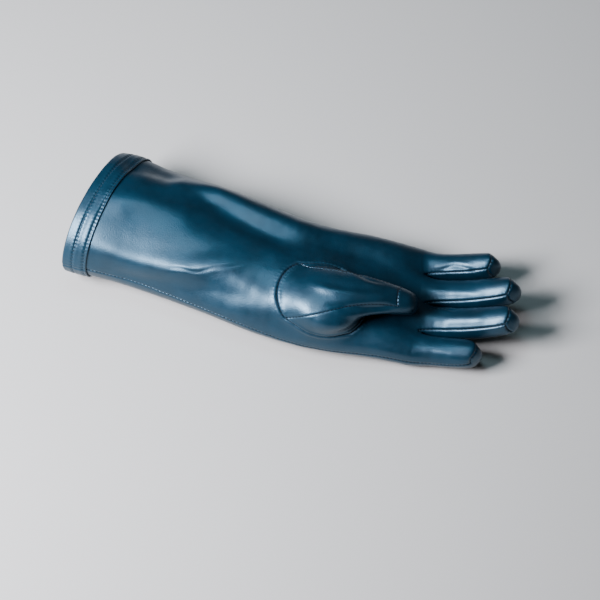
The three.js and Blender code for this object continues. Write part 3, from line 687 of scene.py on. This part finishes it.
# Folds in the upper side, through places (u, v) of the view; a ridge of negative depth is a hollow.
FOLDS = [  # kind, region, width, depth, path
    ("ridge", "tube", 11, 2.9, [(70, 242), (105, 252), (140, 263), (178, 268), (215, 265), (262, 258)]),
    ("crease", "tube", 11, 1.6, [(100, 270), (140, 280), (180, 287), (225, 294), (270, 302)]),
    ("crease", "tube", 1.5, 0.4, [(165, 268), (182, 269), (198, 272), (214, 269), (232, 267), (250, 262)]),
    ("ridge", "tube", 5, 0.4, [(150, 270), (178, 271), (205, 268), (232, 266), (252, 260)]),
    ("crease", "tube", 9, 2, [(186, 182), (203, 196), (222, 208), (246, 222), (276, 238), (306, 248)]),
    ("ridge", "tube", 9, -1.8, [(196, 190), (222, 198), (250, 211), (280, 226), (310, 238)]),
    ("ridge", "tube", 13, 3, [(96, 208), (122, 200), (150, 202), (180, 210), (208, 220)]),
    ("ridge", "tube", 13, -3.2, [(112, 160), (130, 163), (148, 167), (164, 173), (182, 180)]),
    ("crease", "thumb", 3.4, 0.6, [(318, 261), (340, 267), (366, 277), (392, 284)]),
    ("ridge", "thumb", 4.5, 1.8, [(304, 281), (330, 290), (362, 296), (398, 299)]),
    ("crease", "thumb", 3.6, 1.5, [(322, 303), (346, 307), (372, 308), (398, 306)]),
    ("ridge", "thumb", 4, 0.6, [(330, 324), (350, 325), (372, 325)]),
    ("crease", "little", 2.2, 0.5, [(424, 270), (440, 270), (454, 266), (468, 269), (486, 275)]),
    ("ridge", "ring", 3.5, 0.6, [(416, 288), (440, 291), (466, 293), (486, 297)]),
    ("ridge", "middle", 5, 1, [(440, 317), (462, 319), (486, 318)]),
    ("crease", "middle", 2.6, 0.8, [(424, 306), (440, 306), (456, 310)]),
    ("ridge", "index", 4, 0.8, [(362, 342), (396, 346), (432, 350), (462, 356)]),
]
FOLD_REACH, FOLD_TAPER, FOLD_FACING = 4, 0.25, 0.35
VALLEY_SHARPNESS, SHOULDER_SHARPNESS = 1.6, 1.4
SHOULDER_HEIGHT, SHOULDER_AWAY = 0.42, 1.7

vertex_region = np.zeros(len(skin), int)
for number in range(len(REGIONS)):
    vertex_region[fine_quads[region_of == number].ravel()] = number


def fold_shape(kind, d):
    """A crease is a narrow valley with a soft shoulder on each side, and a ridge a soft swelling."""
    if kind == "ridge":
        return np.exp(-(d**2))
    shoulder = SHOULDER_HEIGHT * np.exp(-((d - SHOULDER_AWAY) ** 2) * SHOULDER_SHARPNESS)
    return -np.exp(-(d**2) * VALLEY_SHARPNESS) + shoulder


depths = np.zeros(len(skin))
for kind, name, width, depth, path in FOLDS:
    spots = [spot_on_skin(u, v, name) for u, v in path]
    line, shares = smooth_path(skin[spots])
    facing = normals[spots].mean(axis=0)
    close, distance, where = near_path(line, shares, FOLD_REACH * width)
    taper = ease(where / FOLD_TAPER) * ease((1 - where) / FOLD_TAPER)
    taper *= ease((normals[close] @ facing) / FOLD_FACING)
    depths[close] += depth * fold_shape(kind, distance / width) * taper

# Soft waves in the leather, larger at the cuff, and finer crumples at the wrist and the fingers.
WAVE_SEED, RIPPLE_SEED, CRUMPLE_SEED = 3, 11, 29
WAVE_PITCH, RIPPLE_PITCH, CRUMPLE_PITCH = (44, 30, 30), (13, 10, 10), (6.5, 26, 26)
WAVE_HEIGHT, LESS_ON_FINGERS, LESS_ON_THUMB = 0.55, 0.35, 0.2
RIPPLE_HEIGHT = 0.12
CRUMPLE_HEIGHT, MORE_AT_WRIST, MORE_ON_FINGERS = 0.04, 0.14, 0.12
WRIST_REACH = 48
wave, ripple, crumple = perlin(WAVE_SEED), perlin(RIPPLE_SEED), perlin(CRUMPLE_SEED)
finger_regions = [REGIONS.index(name) for name in FINGER_NAMES]
on_fingers = np.isin(vertex_region, finger_regions).astype(float)
on_thumb = (vertex_region == REGIONS.index("thumb")).astype(float)
at_wrist = fading(skin[:, 0] - shift[0] - WRIST, WRIST_REACH)
wave_height = WAVE_HEIGHT - LESS_ON_FINGERS * on_fingers - LESS_ON_THUMB * on_thumb
depths += wave_height * wave(skin / WAVE_PITCH)
depths += RIPPLE_HEIGHT * ripple(skin / RIPPLE_PITCH)
crumple_height = MORE_AT_WRIST * at_wrist + MORE_ON_FINGERS * on_fingers + CRUMPLE_HEIGHT
depths += crumple_height * crumple(skin / CRUMPLE_PITCH)

# Seams: the edges between two panels, as chains of vertices, with a groove, lips and gathers.
panel_beside = by_edge(fine_quads, np.repeat(panel_of, 4))
seam_links = {}
for (a, b), panel in panel_beside.items():
    across = panel_beside.get((b, a))
    if across is not None and across > panel:
        links = seam_links.setdefault((panel, across), {})
        links.setdefault(a, []).append(b)
        links.setdefault(b, []).append(a)


def chains_of(links):
    """Chains of vertices from linked pairs, each from one end to the other or round a loop."""
    left = {vertex: list(others) for vertex, others in links.items()}
    starts = sorted(v for v, others in left.items() if len(others) != 2) + sorted(left)
    chains = []
    for start in starts:
        while left[start]:
            chain = [start]
            while left[chain[-1]]:
                here = chain[-1]
                there = left[here].pop()
                left[there].remove(here)
                chain.append(there)
            chains.append(chain)
    return chains


def seam_strength(pair):
    """How far a seam stands out: the thumb's rim most, and its side seam least."""
    names = {PANELS[number] for number in pair}
    if names == {"thumb_top", "thumb_under"}:
        return 0.25
    if names == {"palm_panel", "back_panel"}:
        return 0.4
    return 1 if names & {"thumb_top", "thumb_under"} else 0.6


seams, strengths, run_along = [], np.zeros(len(skin)), np.zeros(len(skin))
for pair in sorted(seam_links):
    for chain in chains_of(seam_links[pair]):
        seams.append(chain)
        strengths[chain] = np.maximum(strengths[chain], seam_strength(pair))
        run_along[chain] = run_of(skin[chain])
seam_vertices = sorted({vertex for chain in seams for vertex in chain})
tree = kdtree.KDTree(len(seam_vertices))
for vertex in seam_vertices:
    tree.insert(skin[vertex], vertex)
tree.balance()

SEAM_REACH = 7
GROOVE_DEPTH, GROOVE_WIDTH = 1.1, 0.8
LIP_HEIGHT, LIP_AWAY, LIP_WIDTH = 0.3, 2, 1.2
WELT = 1.1  # how much further the lip stands on the thumb's side of its rim
GATHER_HEIGHT, GATHER_PITCH, GATHER_REACH = 0.16, 3.3, 3.4
PUCKER_HEIGHT, PUCKER_PITCH, PUCKER_WIDTH, PUCKER_REACH = 0.25, 7, 30, 5

near_seam = np.full(len(skin), SEAM_REACH * 2.0)
run_near, strength_near = np.zeros(len(skin)), np.zeros(len(skin))
for vertex in skin_round(skin[seam_vertices], SEAM_REACH):
    _, nearest, near_seam[vertex] = tree.find(skin[vertex])
    run_near[vertex] = run_along[nearest]
    strength_near[vertex] = strengths[nearest]

groove = fading(near_seam, GROOVE_WIDTH)
lip = fading(near_seam - LIP_AWAY, LIP_WIDTH)
gather = np.sin(2 * pi * run_near / GATHER_PITCH) * fading(near_seam, GATHER_REACH)
pucker = ripple(np.stack([run_near / PUCKER_PITCH, near_seam / PUCKER_WIDTH, run_near * 0], axis=1))
welt = 1 + WELT * on_thumb * (strength_near == 1)
depths += strength_near * (LIP_HEIGHT * welt * lip - GROOVE_DEPTH * groove)
depths += strength_near * GATHER_HEIGHT * gather * (1 - groove)
depths += PUCKER_HEIGHT * strength_near * pucker * fading(near_seam, PUCKER_REACH) * (1 - groove)

relief = skin + normals * depths[:, None]
relief[:, 2] = relief[:, 2].clip(0)  # the back lies flat on the surface

coarse_quads = levels[-2][1]
coarse_panel = per_quad(quad_panels, FINE_LEVELS - 1)
edge_middle = by_edge(coarse_quads, fine_quads[:, 1])


def mesh_object(name, points, faces, material):
    mesh = bpy.data.meshes.new(name)
    mesh.from_pydata((np.asarray(points) / 1000).tolist(), [], faces)
    mesh.validate()
    mesh.polygons.foreach_set("use_smooth", [True] * len(mesh.polygons))
    mesh.update()
    piece = bpy.data.objects.new(name, mesh)
    bpy.context.scene.collection.objects.link(piece)
    mesh.materials.append(material)
    return piece


def ring_faces(rings, nexts):
    """Quads between closed rings of points and the rings next to them."""
    corners = [rings, nexts, np.roll(nexts, -1, axis=1), np.roll(rings, -1, axis=1)]
    return np.stack(corners, axis=2).reshape(-1, 4).tolist()


def rim_edges(quads):
    """The edges of some quads that have a quad on one side alone."""
    known = by_edge(quads, directed_edges(quads))
    return sorted((a, b) for a, b in known if (b, a) not in known)


def rim_shifts(edges):
    """How a panel's edge vertices stand back, so that neighbouring panels do not touch."""
    total = {}
    for a, b in edges:
        side = unit(np.cross(normals[a], skin[b] - skin[a]))
        for vertex in (a, b):
            total[vertex] = total.get(vertex, 0) + side
    return {vertex: SEAM_GAP / 2 * unit(side) for vertex, side in total.items()}


INNER_FLOOR = 0.8 * WALL


def skin_piece(name, panel, material):
    """A panel as a closed shell: the fine relief outside, a plainer inner face and its edges."""
    outer = fine_quads[panel_of == PANELS.index(panel)]
    inner = coarse_quads[coarse_panel == PANELS.index(panel)]
    shell = relief.copy()
    for vertex, move in rim_shifts(rim_edges(outer)).items():
        shell[vertex] += move
    used, inner_used = np.unique(outer), np.unique(inner)
    number = {vertex: i for i, vertex in enumerate(used.tolist())}
    inner_number = {vertex: len(used) + i for i, vertex in enumerate(inner_used.tolist())}
    inside = shell[inner_used] - normals[inner_used] * WALL
    inside[:, 2] = inside[:, 2].clip(INNER_FLOOR)
    faces = [[number[c] for c in quad] for quad in outer.tolist()]
    faces += [[inner_number[c] for c in reversed(quad)] for quad in inner.tolist()]
    for a, b in rim_edges(inner):
        m = number[edge_middle[(a, b)]]
        faces.append([number[a], inner_number[a], m])
        faces.append([m, inner_number[a], inner_number[b]])
        faces.append([m, inner_number[b], number[b]])
    return mesh_object(name, np.concatenate([shell[used], inside]), faces, material)


# Sewing: stitches at even steps along a line, each a short rounded roll that sinks at its ends.
STITCH_PITCH = 3.3
ROLL_RINGS, ROLL_SIDES, ROLL_TAPER, ROLL_SAG = 5, 6, 0.92, 0.9
STITCH_FLOOR = 0.02
TANGENT_REACH = 0.4


def stitch_roll(spot, run, rise, length, radius):
    run = unit(run)
    rise = unit(rise - run * (rise @ run))
    aside = np.cross(rise, run)
    points = []
    for ring in range(ROLL_RINGS):
        t = 2 * (ring + 0.5) / ROLL_RINGS - 1
        girth = radius * sqrt(1 - (ROLL_TAPER * t) ** 2)
        sag = -ROLL_SAG * radius * t * t
        for k in range(ROLL_SIDES):
            angle = 2 * pi * k / ROLL_SIDES
            up_by = rise * (sag + girth * sin(angle))
            points.append(spot + run * t * length / 2 + up_by + aside * girth * cos(angle))
    return points


def roll_faces(first):
    grid = first + np.arange(ROLL_RINGS * ROLL_SIDES).reshape(ROLL_RINGS, ROLL_SIDES)
    return ring_faces(grid[:-1], grid[1:]) + [grid[0].tolist(), grid[-1, ::-1].tolist()]


def thread_piece(name, rows, length, radius):
    """One piece of all the stitches of some rows, each given by spots, directions and rises."""
    points, faces = [], []
    for row in rows:
        for spot, run, rise in zip(*row):
            faces += roll_faces(len(points))
            points += stitch_roll(spot, run, rise, length, radius)
    points = np.array(points)
    points[:, 2] = points[:, 2].clip(STITCH_FLOOR)
    return mesh_object(name, points, faces, seam_thread)


def stitches_at(wanted, run, line, rises, period=None):
    """Spots, directions and rises of stitches at wanted places of a line's run."""

    def at(where, values):
        return np.stack([np.interp(where, run, row, period=period) for row in values.T], axis=1)

    ahead, behind = at(wanted + TANGENT_REACH, line), at(wanted - TANGENT_REACH, line)
    return at(wanted, line), ahead - behind, at(wanted, rises)


# The hem: a band folded round the cuff's edge, set out on the skin's own rows there.
HEM_ROWS = 2**FINE_LEVELS
HEM_COLUMNS = ROUND * HEM_ROWS
STITCH_ROWS = (7.4, 15.2)  # distances from the cuff's edge
on_hem = np.flatnonzero((places[:, 0] < 1 + 1e-6) & (vertex_region == REGIONS.index("tube")))
hem_row = np.rint(places[on_hem, 0] * HEM_ROWS).astype(int)
turns = np.arctan2(places[on_hem, 2], places[on_hem, 1]) / (2 * pi)
hem_column = np.rint(turns * HEM_COLUMNS).astype(int) % HEM_COLUMNS
hem_grid = np.zeros((HEM_ROWS + 1, HEM_COLUMNS), int)
hem_grid[hem_row, hem_column] = on_hem


def twice_round(grid):
    """Twice as many columns, the new ones half-way between the old."""
    between = (grid + np.roll(grid, -1, axis=1)) / 2
    return np.stack([grid, between], axis=2).reshape(grid.shape[0], -1, 3)


hem_base, hem_out = twice_round(relief[hem_grid]), unit(twice_round(normals[hem_grid]))
hem_run = run_of([*hem_base[0], hem_base[0, 0]])
hem_girth = hem_run[-1]
hem_run = hem_run[:-1]
hem_stitches = round(hem_girth / STITCH_PITCH)
hem_turn = 2 * pi * hem_run / hem_girth
backwards = -level_directions(centre_line(0)[2])[0]

HEM_WAVE_HEIGHT, HEM_WAVE_PITCH, HEM_WAVE_MIDDLE, HEM_WAVE_REACH = 0.3, 16, 8, 9
ROW_DEPTH, ROW_WIDTH = 0.7, 0.8
ROW_LIP_HEIGHT, ROW_LIP_AWAY, ROW_LIP_WIDTH = 0.15, 2, 1.3
ROW_GATHER_HEIGHT, ROW_GATHER_REACH = 0.14, 1.8
hem_wave = ripple(np.stack([hem_run / HEM_WAVE_PITCH, np.cos(hem_turn), hem_run * 0], axis=1))


def hem_relief(distance):
    """How far the hem's face stands proud at a distance from the edge, all round it."""
    rise = HEM_WAVE_HEIGHT * hem_wave * fading(distance - HEM_WAVE_MIDDLE, HEM_WAVE_REACH)
    for number, middle in enumerate(STITCH_ROWS):
        off = distance - middle
        rise = rise - ROW_DEPTH * fading(off, ROW_WIDTH)
        rise = rise + ROW_LIP_HEIGHT * fading(abs(off) - ROW_LIP_AWAY, ROW_LIP_WIDTH)
        gathers = ROW_GATHER_HEIGHT * np.sin(hem_turn * hem_stitches + number)
        rise = rise + gathers * fading(off, ROW_GATHER_REACH)
    return rise


def hem_point(distance, level, back=0.0):
    """The ring of points at a distance from the edge and a level over the skin."""
    row = clamp(distance / HEM_WIDTH, 0, 1) * HEM_ROWS
    low_row = min(int(row), HEM_ROWS - 1)
    t = row - low_row
    base = lerp(hem_base[low_row], hem_base[low_row + 1], t)
    out = lerp(hem_out[low_row], hem_out[low_row + 1], t)
    return base + out * np.asarray(level).reshape(-1, 1) + backwards * back


HEM_STEP, HEM_STEP_SHIFT, EDGE_STEPS, INNER_STEPS = 0.5, 0.6, 10, 9
EDGE_SQUARENESS, EDGE_BULGE = 0.7, 0.8
OUTER_BEVEL, INNER_BEVEL, INNER_START = 0.45, 0.4, 1.5
HEM_FLOOR = 0.05
OUTER_LEVEL = SEAM_GAP + HEM_WALL
SLOT_LEVEL = -WALL - SEAM_GAP
INNER_LEVEL = SLOT_LEVEL - HEM_WALL
MIDDLE_LEVEL, HALF_LEVEL = (OUTER_LEVEL + INNER_LEVEL) / 2, (OUTER_LEVEL - INNER_LEVEL) / 2


def hem_profile():
    """Rings round the band's section: outer face, folded edge, inner face and the cuff's slot."""
    rings = [hem_point(HEM_WIDTH, SEAM_GAP), hem_point(HEM_WIDTH, OUTER_LEVEL - OUTER_BEVEL)]
    for i in range(int(HEM_WIDTH / HEM_STEP)):
        distance = HEM_WIDTH - (i + HEM_STEP_SHIFT) * HEM_STEP
        rings.append(hem_point(distance, OUTER_LEVEL + hem_relief(distance)))
    for i in range(EDGE_STEPS + 1):
        angle = pi * i / EDGE_STEPS
        level = MIDDLE_LEVEL + HALF_LEVEL * power(cos(angle), EDGE_SQUARENESS)
        rings.append(hem_point(0, level, OUTER_LEVEL * sin(angle) ** EDGE_BULGE))
    for distance in np.linspace(INNER_START, HEM_WIDTH - INNER_BEVEL, INNER_STEPS):
        rings.append(hem_point(distance, INNER_LEVEL))
    rings.append(hem_point(HEM_WIDTH, INNER_LEVEL + INNER_BEVEL))
    for distance in (HEM_WIDTH, HEM_WIDTH / 2):
        rings.append(hem_point(distance, SLOT_LEVEL))
    for level in (SLOT_LEVEL, SEAM_GAP):
        rings.append(hem_point(0, level, SEAM_GAP))
    rings.append(hem_point(HEM_WIDTH / 2, SEAM_GAP))
    return rings


def hem_band(name, material):
    rings = hem_profile()
    points = np.concatenate(rings)
    points[:, 2] = points[:, 2].clip(HEM_FLOOR)
    grid = np.arange(len(points)).reshape(len(rings), -1)
    return mesh_object(name, points, ring_faces(grid, np.roll(grid, -1, axis=0)), material)


# Materials: each value that is the same all over is set on the shader's own socket.
def set_inputs(node, values):
    for key, value in values.items():
        node.inputs[key].default_value = value


def new_material(name, values):
    material = bpy.data.materials.new(name)
    material.use_nodes = True
    set_inputs(material.node_tree.nodes["Principled BSDF"], values)
    return material


def add_bump(material, height, strength, distance):
    nodes, links = material.node_tree.nodes, material.node_tree.links
    bump = nodes.new("ShaderNodeBump")
    set_inputs(bump, {"Strength": strength, "Distance": distance})
    links.new(height, bump.inputs["Height"])
    links.new(bump.outputs["Normal"], nodes["Principled BSDF"].inputs["Normal"])


SATIN = {
    "Specular IOR Level": 0.8,
    "Specular Tint": (0.4, 0.74, 1, 1),
    "Coat Weight": 0.05,
    "Coat Roughness": 0.22,
}
GRAIN_SCALE, FINE_SCALE, STREAK_SCALE, BLOTCH_SCALE = 1150, 1900, 160, 34
GRAIN_SHARE, FINE_SHARE, STREAK_SHARE = 0.75, 0.3, 1.1
DARKER, LIGHTER, LIGHTER_BASE = 0.62, 1.7, 0.012


def leather(name, deep, pale, gloss):
    """Satin leather: mottled colour, paler where it is rubbed, painted shade that darkens its hollows, and
    a fine pebbled grain.
    """
    material = new_material(name, SATIN)
    nodes, links = material.node_tree.nodes, material.node_tree.links
    shader = nodes["Principled BSDF"]
    spot = nodes.new("ShaderNodeTexCoord").outputs["Object"]

    def feed(socket, value):
        if isinstance(value, (int, float)):
            socket.default_value = value
        elif isinstance(value, tuple):
            socket.default_value = (*value, 1)
        else:
            links.new(value, socket)

    def noise(scale, detail, roughness=0.55):
        node = nodes.new("ShaderNodeTexNoise")
        set_inputs(node, {"Scale": scale, "Detail": detail, "Roughness": roughness})
        links.new(spot, node.inputs["Vector"])
        return node.outputs["Fac"]

    def scaled(value, low, high, to_low=0, to_high=1):
        node = nodes.new("ShaderNodeMapRange")
        set_inputs(node, {"From Min": low, "From Max": high, "To Min": to_low, "To Max": to_high})
        links.new(value, node.inputs["Value"])
        return node.outputs["Result"]

    def combined(kind, a, b):
        node = nodes.new("ShaderNodeMath")
        node.operation = kind
        feed(node.inputs[0], a)
        feed(node.inputs[1], b)
        return node.outputs["Value"]

    def mixed(factor, a, b):
        node = nodes.new("ShaderNodeMix")
        node.data_type = "RGBA"
        feed(node.inputs["Factor"], factor)
        for socket, value in zip([s for s in node.inputs if s.type == "RGBA"], (a, b)):
            feed(socket, value)
        return [s for s in node.outputs if s.type == "RGBA"][0]

    times, plus = partial(combined, "MULTIPLY"), partial(combined, "ADD")
    cells = nodes.new("ShaderNodeTexVoronoi")
    cells.feature = "SMOOTH_F1"
    set_inputs(cells, {"Scale": GRAIN_SCALE, "Smoothness": 0.45})
    links.new(spot, cells.inputs["Vector"])
    pebbles = scaled(cells.outputs["Distance"], 0.1, 0.75, 1, 0)
    blotches = noise(BLOTCH_SCALE, 4)
    fine = noise(FINE_SCALE, 3)
    streaks = noise(STREAK_SCALE, 5, 0.65)

    # Pointiness drives both the rubbed wear on the edges and the painted shade in the hollows.
    pointiness_wear_and_shade = nodes.new("ShaderNodeNewGeometry").outputs["Pointiness"]
    rubbed = times(scaled(pointiness_wear_and_shade, 0.515, 0.57), scaled(streaks, 0.4, 0.62, 0.25))
    # Painted shade: where pointiness is low, in creases and hollows, the colour is darkened.
    painted_hollow_shade = scaled(pointiness_wear_and_shade, 0.485, 0.43)

    darker = tuple(c * DARKER for c in deep)
    lighter = tuple(c * LIGHTER + LIGHTER_BASE for c in pale)
    colour = mixed(scaled(blotches, 0.35, 0.65), deep, pale)
    colour = mixed(times(scaled(pebbles, 0.55, 0.1), 0.35), colour, darker)
    # painted shade: the hollows are mixed toward the darker colour
    colour = mixed(times(painted_hollow_shade, 0.55), colour, darker)
    colour = mixed(times(rubbed, 0.5), colour, lighter)
    links.new(colour, shader.inputs["Base Color"])
    rough = scaled(streaks, 0.3, 0.7, gloss - 0.035, gloss + 0.05)
    rough = plus(rough, times(rubbed, 0.05))
    links.new(rough, shader.inputs["Roughness"])

    height = plus(times(pebbles, GRAIN_SHARE), times(fine, FINE_SHARE))
    height = plus(height, times(streaks, STREAK_SHARE))
    add_bump(material, height, 0.22, 0.00035)
    return material


def thread(name, colour):
    """Waxed sewing thread with a twist that shows as a fine slanted ripple."""
    material = new_material(name, {"Roughness": 0.7, "Specular IOR Level": 0.25})
    nodes, links = material.node_tree.nodes, material.node_tree.links
    spot = nodes.new("ShaderNodeTexCoord").outputs["Object"]
    twist = nodes.new("ShaderNodeTexWave")
    twist.bands_direction = "DIAGONAL"
    set_inputs(twist, {"Scale": 700, "Distortion": 1.5})
    links.new(spot, twist.inputs["Vector"])
    ramp = nodes.new("ShaderNodeValToRGB")
    ramp.color_ramp.elements[0].color = (*(c * 0.6 for c in colour), 1)
    ramp.color_ramp.elements[1].color = (*colour, 1)
    links.new(twist.outputs["Fac"], ramp.inputs["Fac"])
    links.new(ramp.outputs["Color"], nodes["Principled BSDF"].inputs["Base Color"])
    add_bump(material, twist.outputs["Fac"], 0.5, 0.0001)
    return material


DEEP, PALE = (0.0003, 0.007, 0.014), (0.0006, 0.0125, 0.0245)
GLOVE_GLOSS, HEM_GLOSS = 0.38, 0.39
THREAD_COLOUR = (0.0015, 0.011, 0.02)
glove_leather = leather("glove_leather_satin", DEEP, PALE, GLOVE_GLOSS)
hem_leather = leather("hem_leather_satin", DEEP, PALE, HEM_GLOSS)
seam_thread = thread("seam_thread", THREAD_COLOUR)

# The pieces: each skin with the nodes that it stands for, of which the first is its panel.
SKINS = {
    "palm_skin": ["palm_panel"],
    "back_skin": ["back_panel", *(f"{name}_back" for name in FINGER_NAMES)],
    "thumb_top_skin": ["thumb_top"],
    "thumb_under_skin": ["thumb_under"],
}
SKINS |= {f"{pair}_fourchette": [panel] for pair, panel in zip(FINGER_PAIRS, FOURCHETTES)}
for name, nodes in SKINS.items():
    piece = skin_piece(name, nodes[0], glove_leather)
    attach(piece, "root")
    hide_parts(*nodes)

hem = hem_band("cuff_hem_band", hem_leather)
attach(hem, "root")
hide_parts("cuff_hem")

SEAM_STITCH, SEAM_THREAD, SEAM_THREAD_LIFT = 2, 0.32, 0.45
SEAM_MARGIN, SHORTEST_SEAM = 1.2, 6
HEM_STITCH, HEM_THREAD, HEM_THREAD_LIFT = 2.3, 0.34, 0.12


def seam_row(chain):
    """A seam's stitches at even steps, with a margin at both ends."""
    line = relief[chain] + normals[chain] * SEAM_THREAD_LIFT
    run = run_of(line)
    free = run[-1] - 2 * SEAM_MARGIN
    count = int(free // STITCH_PITCH)
    wanted = SEAM_MARGIN + (np.arange(count) + 0.5) * (free / max(count, 1))
    return stitches_at(wanted, run, line, normals[chain])


def hem_stitch_row(number, middle):
    """One of the hem's rows of stitches, all round it."""
    ring = hem_point(middle, OUTER_LEVEL + hem_relief(middle) + HEM_THREAD_LIFT)
    out = hem_point(middle, 1) - hem_point(middle, 0)
    wanted = (np.arange(hem_stitches) + 0.5 * number) * hem_girth / hem_stitches
    return stitches_at(wanted, hem_run, ring, out, hem_girth)


rows = [seam_row(chain) for chain in seams if len(chain) >= SHORTEST_SEAM]
seam_stitches = thread_piece("seam_stitches", rows, SEAM_STITCH, SEAM_THREAD)
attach(seam_stitches, "root")

rows = [hem_stitch_row(number, middle) for number, middle in enumerate(STITCH_ROWS)]
hem_stitching = thread_piece("hem_stitches", rows, HEM_STITCH, HEM_THREAD)
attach(hem_stitching, "root")


def set_up(thing, spot, away):
    """Sets a light or the camera at a spot, looking against a direction."""
    thing.location = spot
    thing.rotation_mode = "QUATERNION"
    thing.rotation_quaternion = Vector(-away).to_track_quat("-Z", "Y")
    bpy.context.scene.collection.objects.link(thing)


# A pale floor and soft studio light.
FLOOR_SIZE, FLOOR_COLOUR, FLOOR_ROUGHNESS = 6, (0.31, 0.325, 0.312, 1), 0.9
SKY_COLOUR, SKY_STRENGTH = (0.9, 0.95, 1, 1), 0.06
bpy.ops.mesh.primitive_plane_add(size=FLOOR_SIZE)
floor = bpy.context.object
floor.name = "floor"
floor_look = {"Base Color": FLOOR_COLOUR, "Roughness": FLOOR_ROUGHNESS}
floor.data.materials.append(new_material("pale_floor", floor_look))

world = bpy.data.worlds.new("studio")
world.use_nodes = True
set_inputs(world.node_tree.nodes["Background"], {"Color": SKY_COLOUR, "Strength": SKY_STRENGTH})
bpy.context.scene.world = world

LIGHTS = [  # name, azimuth, elevation, distance, aim along x, width, height, watts, colour
    ("key", -46, 46, 1.1, -0.13, 0.55, 0.5, 74, (0.97, 0.92, 1)),
    ("panel", 196, 84, 1, -0.12, 0.3, 0.3, 3, (0.6, 0.86, 1)),
]
for name, azimuth, elevation, distance, aim, width, height, watts, colour in LIGHTS:
    lamp = bpy.data.lights.new(name, "AREA")
    lamp.shape = "RECTANGLE"
    lamp.size, lamp.size_y = width, height
    lamp.energy = watts
    lamp.color = colour
    away = towards(azimuth, elevation)
    set_up(bpy.data.objects.new(name, lamp), away * distance + (aim, 0, 0), away)

# A long lens, so that the view is nearly parallel, framed as 600 x 600.
FRAME_PIXELS = 600
FOCUS_HEIGHT = 0.024
LENS, SENSOR_WIDTH, CLIP_END = 280, 36, 50
metres_per_pixel = 1 / PIXELS_PER_MM / 1000
camera_data = bpy.data.cameras.new("camera")
camera_data.sensor_width = SENSOR_WIDTH
camera_data.lens = LENS
camera_data.clip_end = CLIP_END
camera = bpy.data.objects.new("camera", camera_data)
to_right = (FRAME_PIXELS / 2 - VIEW_MIDDLE[0]) * metres_per_pixel
upwards = (VIEW_MIDDLE[1] - FRAME_PIXELS / 2) * metres_per_pixel
focus = right * to_right + up * upwards + back * (FOCUS_HEIGHT / back[2])
set_up(camera, focus + back * (FRAME_PIXELS * metres_per_pixel * LENS / SENSOR_WIDTH), back)
bpy.context.scene.camera = camera
